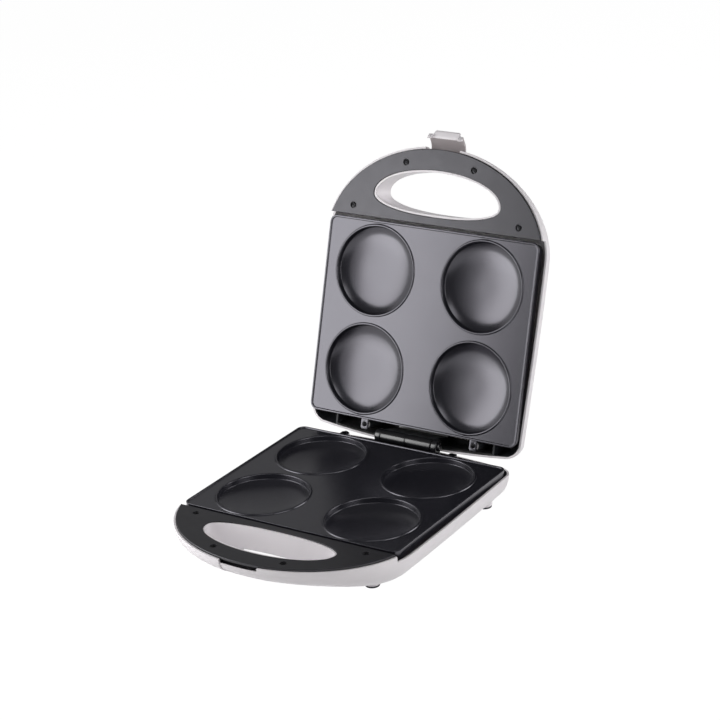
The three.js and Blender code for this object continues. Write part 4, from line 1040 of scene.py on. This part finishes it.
# Painted shade: the latch plate's darker grey stands in for the shade on the plate, beside its lip and hooks
# in the shell finish
latch_painted_shade_grey = plain_finish(
    "latch_painted_shade_grey", (25, 2), [(0.3, (0.37, 0.335, 0.34)), (0.7, (0.41, 0.372, 0.378))],
    (5, 3), (0.3, 0.42), (0.6, 2), (0.01, 0.5), IOR=1.5, Specular_IOR_Level=0.5)
# Finishes of the solids that are kept as they are, by their material slot
kept = {
    "steel": plain_finish(
        "pressed_steel", (8, 3), [(0.3, (0.42, 0.42, 0.43)), (0.7, (0.56, 0.56, 0.57))],
        (2, 4, 0.5, (1, 12, 12)), (0.28, 0.45), (0.8, 3, 0.5, (1, 14, 14)), (0.01, 0.4), Metallic=1.0),
    "tray": plain_finish(
        "bright_tray", (20, 3), [(0.3, (0.58, 0.58, 0.59)), (0.7, (0.70, 0.70, 0.71))],
        (6, 4, 0.5, (1, 8, 1)), (0.3, 0.48), (1.5, 3, 0.5, (1, 10, 1)), (0.012, 0.3), Metallic=1.0),
    "shield": plain_finish(
        "matte_shield", (10, 4), [(0.3, (0.009, 0.009, 0.010)), (0.7, (0.02, 0.02, 0.021))],
        (5, 3), (0.5, 0.68), (1.0, 3), (0.02, 0.4), IOR=1.5),
    "element": plain_finish(
        "heated_tube", (14, 4),
        [(0.3, (0.06, 0.05, 0.045)), (0.55, (0.11, 0.095, 0.085)), (0.75, (0.15, 0.14, 0.14))],
        (3, 3), (0.42, 0.65), (0.9, 3), (0.02, 0.5), Metallic=1.0),
    "ceramic": plain_finish(
        "glazed_ceramic", (7, 3), [(0.3, (0.74, 0.69, 0.60)), (0.7, (0.82, 0.78, 0.70))],
        (4, 3), (0.2, 0.34), (1.8, 2), (0.02, 0.4), IOR=1.5, Specular_IOR_Level=0.6),
    "bakelite": plain_finish(
        "brown_phenolic", (2, 4), [(0.3, (0.028, 0.015, 0.010)), (0.7, (0.06, 0.034, 0.022))],
        (2, 3), (0.38, 0.55), (0.8, 3), (0.015, 0.4), IOR=1.5)}

# Pieces

for body, lower in (("base", "lower_plate"), ("lid", "upper_plate")):
    put(f"{lower}_cast", plate(), body, coat, [lower], 50, flats=False)
    put(f"{body}_trim_moulding", handle_trim(body == "base"), body, trim, [f"{body}_handle_trim"])
# The housings' inner faces behind the plates get the painted shade
put("base_housing_moulding", with_painted_shade(base_housing(), painted_shade), "base", shell, ["base_housing"], 32)
put("lid_housing_moulding", with_painted_shade(lid_housing(), painted_shade), "lid", shell, ["lid_housing"], 32)
put("base_bracket_cast", base_bracket(), "base", hinge, ["base_hinge_bracket"])
put("lid_bracket_cast", lid_bracket(painted_shade), "lid", hinge, ["lid_hinge_bracket"])
put("hinge_pin_turned", hinge_pin(), "base", hinge, ["hinge_pin"])
# The latch's plate carries painted shade and its lip and hooks painted light
put("latch_moulding", latch_clip(shell), "latch", latch_painted_shade_grey, ["latch_clip"], 50)

screw_group, screw_sockets = screw_tree()
small_screw = {"Head Radius": 2.5, "Head Height": 1.7, "Shank Radius": 1.4, "Cross Length": 3.0}
trim_screw = {"Head Radius": 2.8, "Head Height": 1.2, "Shank Radius": 1.5, "Shank Length": 12.0, "Seed": 4}
corners = [f"{row}_{side}" for row in ("rear", "front") for side in ("right", "left")]
screw_sets = [
    ("trim", [(x, y, TRIM_TOP - SCREW_RECESS_DEPTH) for x, y in SCREW_PLACES], trim_screw, corners),
    ("plate", [(x, TAB_Y, TAB_TOP) for x in TABS], {**small_screw, "Shank Length": 9.0, "Seed": 7}, (1, 2)),
    ("hinge", [(x, y, FOOT_TOP) for x, y in BRACKET_SCREWS], {**small_screw, "Shank Length": 5.2, "Seed": 11},
     (1, 2))]
for body in ("base", "lid"):
    for held, places, sizes, which in screw_sets:
        replaced = [f"{body}_{held}_screw_{one}" for one in which]
        placed_pieces(f"{body}_{held}_screws", screw_group, screw_sockets, places, sizes, body, screws,
                      replaced)

pad = [(PAD_CAP - 3.1, -FOOT_DROP + 0.35), (PAD_CAP - 2.8, -FOOT_DROP), (PAD_CAP - 0.7, -FOOT_DROP),
       (PAD_CAP - 0.2, -FOOT_DROP + 0.2), (PAD_CAP, -FOOT_DROP + 0.6), (PAD_CAP, PAD_CAP_TOP - 0.3),
       (PAD_CAP - 0.3, PAD_CAP_TOP), (PAD_DIAMETER / 2, PAD_CAP_TOP),
       (PAD_DIAMETER / 2, -FOOT_DROP + PAD_HEIGHT)]
pads = [turned(pad, Matrix.Translation((x, y, 0))) for x, y in FEET]
put("foot_pads", merged(*pads), "base", rubber, [f"foot_pad_{corner}" for corner in corners])

sleeve = [(3.2, -7.2), (7, -7.2), (7, -5.4), (5, -5.4), (5, 2.2), (5.0, 6.2), (4.7, 6.5), (4.7, 7.1),
          (4.9, 7.4), (4.8, 8.9), (4.45, 9.2), (4.45, 9.8), (4.6, 10.1), (4.45, 11.5), (4.1, 11.8),
          (4.1, 12.3), (4.25, 12.6), (3.95, 13.8), (3.6, 14), (3.2, 14)]
gland = ringed([at_height(circle(0, 0, radius, GLAND_SIDES), z) for radius, z in sleeve], looped=True)
gland.transform(GLAND_PLACE)
put("cord_gland_sleeve", gland, "base", rubber, ["cord_gland"])

for name, side, dark, light in (("power", 1, (0.20, 0.006, 0.008), (0.62, 0.03, 0.03)),
                                ("ready", -1, (0.01, 0.13, 0.03), (0.06, 0.42, 0.12))):
    dome = [(6, 3.9), (6, 2.5), (LAMP_RADIUS, 2.5), (LAMP_RADIUS, -0.2), (4.3, -0.55), (3.7, -1.0),
            (2.8, -1.33), (1.6, -1.53), (0.4, -1.6)]
    place = Matrix.Translation((side * LAMP_OFFSET, -LAMP_REACH, -HOUSING_DEPTH))
    put(f"{name}_lamp_dome", turned(dome, place), "lid", lamp_lens(f"{name}_lens", dark, light),
        [f"{name}_lamp_lens"])

for part in frame["record"]["subparts"]:
    if part["material_slot"] in kept:
        nodes[part["node"]].data.materials.clear()
        nodes[part["node"]].data.materials.append(kept[part["material_slot"]])

# Floor, light and camera

FLOOR_REACH, FLOOR_GREY, FLOOR_WHITE, FLOOR_WHITE_SHARE = 9, 0.85, 1.09, 0.9
FILL_LIGHT, MIRRORED_LIGHT, BACKGROUND_LIGHT = 0.07, 0.09, 1.0
SENSOR_WIDTH, LENS = 36, 109.605
CAMERA_PLACE = (1.163935, -1.684936, 0.989764)
CAMERA_RIGHT, CAMERA_UP = (0.837636, 0.542845, -0.060699), (-0.154946, 0.342696, 0.926580)
CAMERA_BACK = (0.523791, -0.766732, 0.371167)


def pale_floor():
    """Matt paper, white to the camera, in reflections and through glass, that keeps some of its shadow."""
    paper = bpy.data.materials.new("pale_floor")
    paper.use_nodes = True
    net = paper.node_tree
    net.nodes.remove(net.nodes["Principled BSDF"])

    def maths(operation, a, b):
        return add(net, "ShaderNodeMath", {0: a, 1: b}, operation=operation).outputs[0]

    matt = add(net, "ShaderNodeBsdfDiffuse", {"Color": (FLOOR_GREY, FLOOR_GREY, FLOOR_GREY, 1)})
    white = add(net, "ShaderNodeEmission", {"Strength": FLOOR_WHITE})
    ray = add(net, "ShaderNodeLightPath").outputs
    seen = maths("MAXIMUM", ray["Is Camera Ray"], ray["Is Glossy Ray"])
    seen = maths("MAXIMUM", seen, ray["Is Transmission Ray"])
    blend = add(net, "ShaderNodeMixShader", {0: maths("MULTIPLY", seen, FLOOR_WHITE_SHARE),
                                             1: matt.outputs[0], 2: white.outputs[0]})
    net.links.new(blend.outputs[0], net.nodes["Material Output"].inputs["Surface"])
    return paper


def studio_world():
    """A dim even fill, which the camera sees as a white background."""
    world = bpy.data.worlds.new("studio")
    world.use_nodes = True
    sky = world.node_tree
    background = sky.nodes["Background"]
    background.inputs["Color"].default_value = (1, 1, 1, 1)
    rays = add(sky, "ShaderNodeLightPath").outputs

    def raised(ray, level, base):
        """The light level for every ray, raised to another level for one kind of ray."""
        return add(sky, "ShaderNodeMix", {"Factor": rays[ray], "A": base, "B": level}).outputs["Result"]

    strength = raised("Is Glossy Ray", MIRRORED_LIGHT, FILL_LIGHT)
    strength = raised("Is Transmission Ray", MIRRORED_LIGHT, strength)
    strength = raised("Is Camera Ray", BACKGROUND_LIGHT, strength)
    sky.links.new(strength, background.inputs["Strength"])
    return world


def softbox(name, direction, distance, width, height, radiance, aim=(0, 0, 0.14)):
    """A rectangular lamp at a distance from the point that it faces, of the same brightness at any size."""
    lamp = bpy.data.lights.new(name, "AREA")
    lamp.shape = "RECTANGLE"
    lamp.size, lamp.size_y = width, height
    lamp.energy = radiance * math.pi * width * height
    obj = linked(name, lamp)
    away = Vector(direction).normalized()
    obj.location = Vector(aim) + away * distance
    obj.rotation_euler = away.to_track_quat("Z", "Y").to_euler()
    obj.visible_camera = False


floor_mesh = bpy.data.meshes.new("floor")
reach = FLOOR_REACH
floor_mesh.from_pydata([(-reach, -reach, 0), (reach, -reach, 0), (reach, reach, 0), (-reach, reach, 0)],
                       [], [(0, 1, 2, 3)])
floor_mesh.materials.append(pale_floor())
floor = linked("floor", floor_mesh)
bpy.context.scene.world = studio_world()
softbox("left_softbox", (-0.493, -0.556, 0), 0.75, 0.42, 0.68, 4.6, (0, 0.14, 0.35))
softbox("left_softbox_edge", (-0.260, -0.760, 0), 0.80, 0.19, 0.68, 0.5, (0, 0.14, 0.35))
softbox("side_softbox", (-0.98, -0.12, 0.3), 2.0, 1.2, 1.2, 0.8)
softbox("right_softbox", (0.919, -0.246, 0.309), 2.0, 1.0, 1.2, 3.4)
softbox("front_softbox", (0.35, -0.5, 0.9), 2.0, 1.0, 0.8, 2.3)
softbox("back_softbox", (0.75, 0.6, 0.3), 2.0, 1.0, 1.0, 4.0)
softbox("back_left_softbox", (-0.54, 0.76, 0.46), 2.0, 1.6, 1.2, 0.22)

camera = bpy.data.cameras.new("camera")
camera.sensor_width = SENSOR_WIDTH
camera.lens = LENS
viewpoint = linked("camera", camera)
turn = Matrix((CAMERA_RIGHT, CAMERA_UP, CAMERA_BACK)).transposed().to_4x4()
viewpoint.matrix_world = Matrix.Translation(CAMERA_PLACE) @ turn
bpy.context.scene.camera = viewpoint
bpy.context.scene.view_settings.view_transform = "Standard"
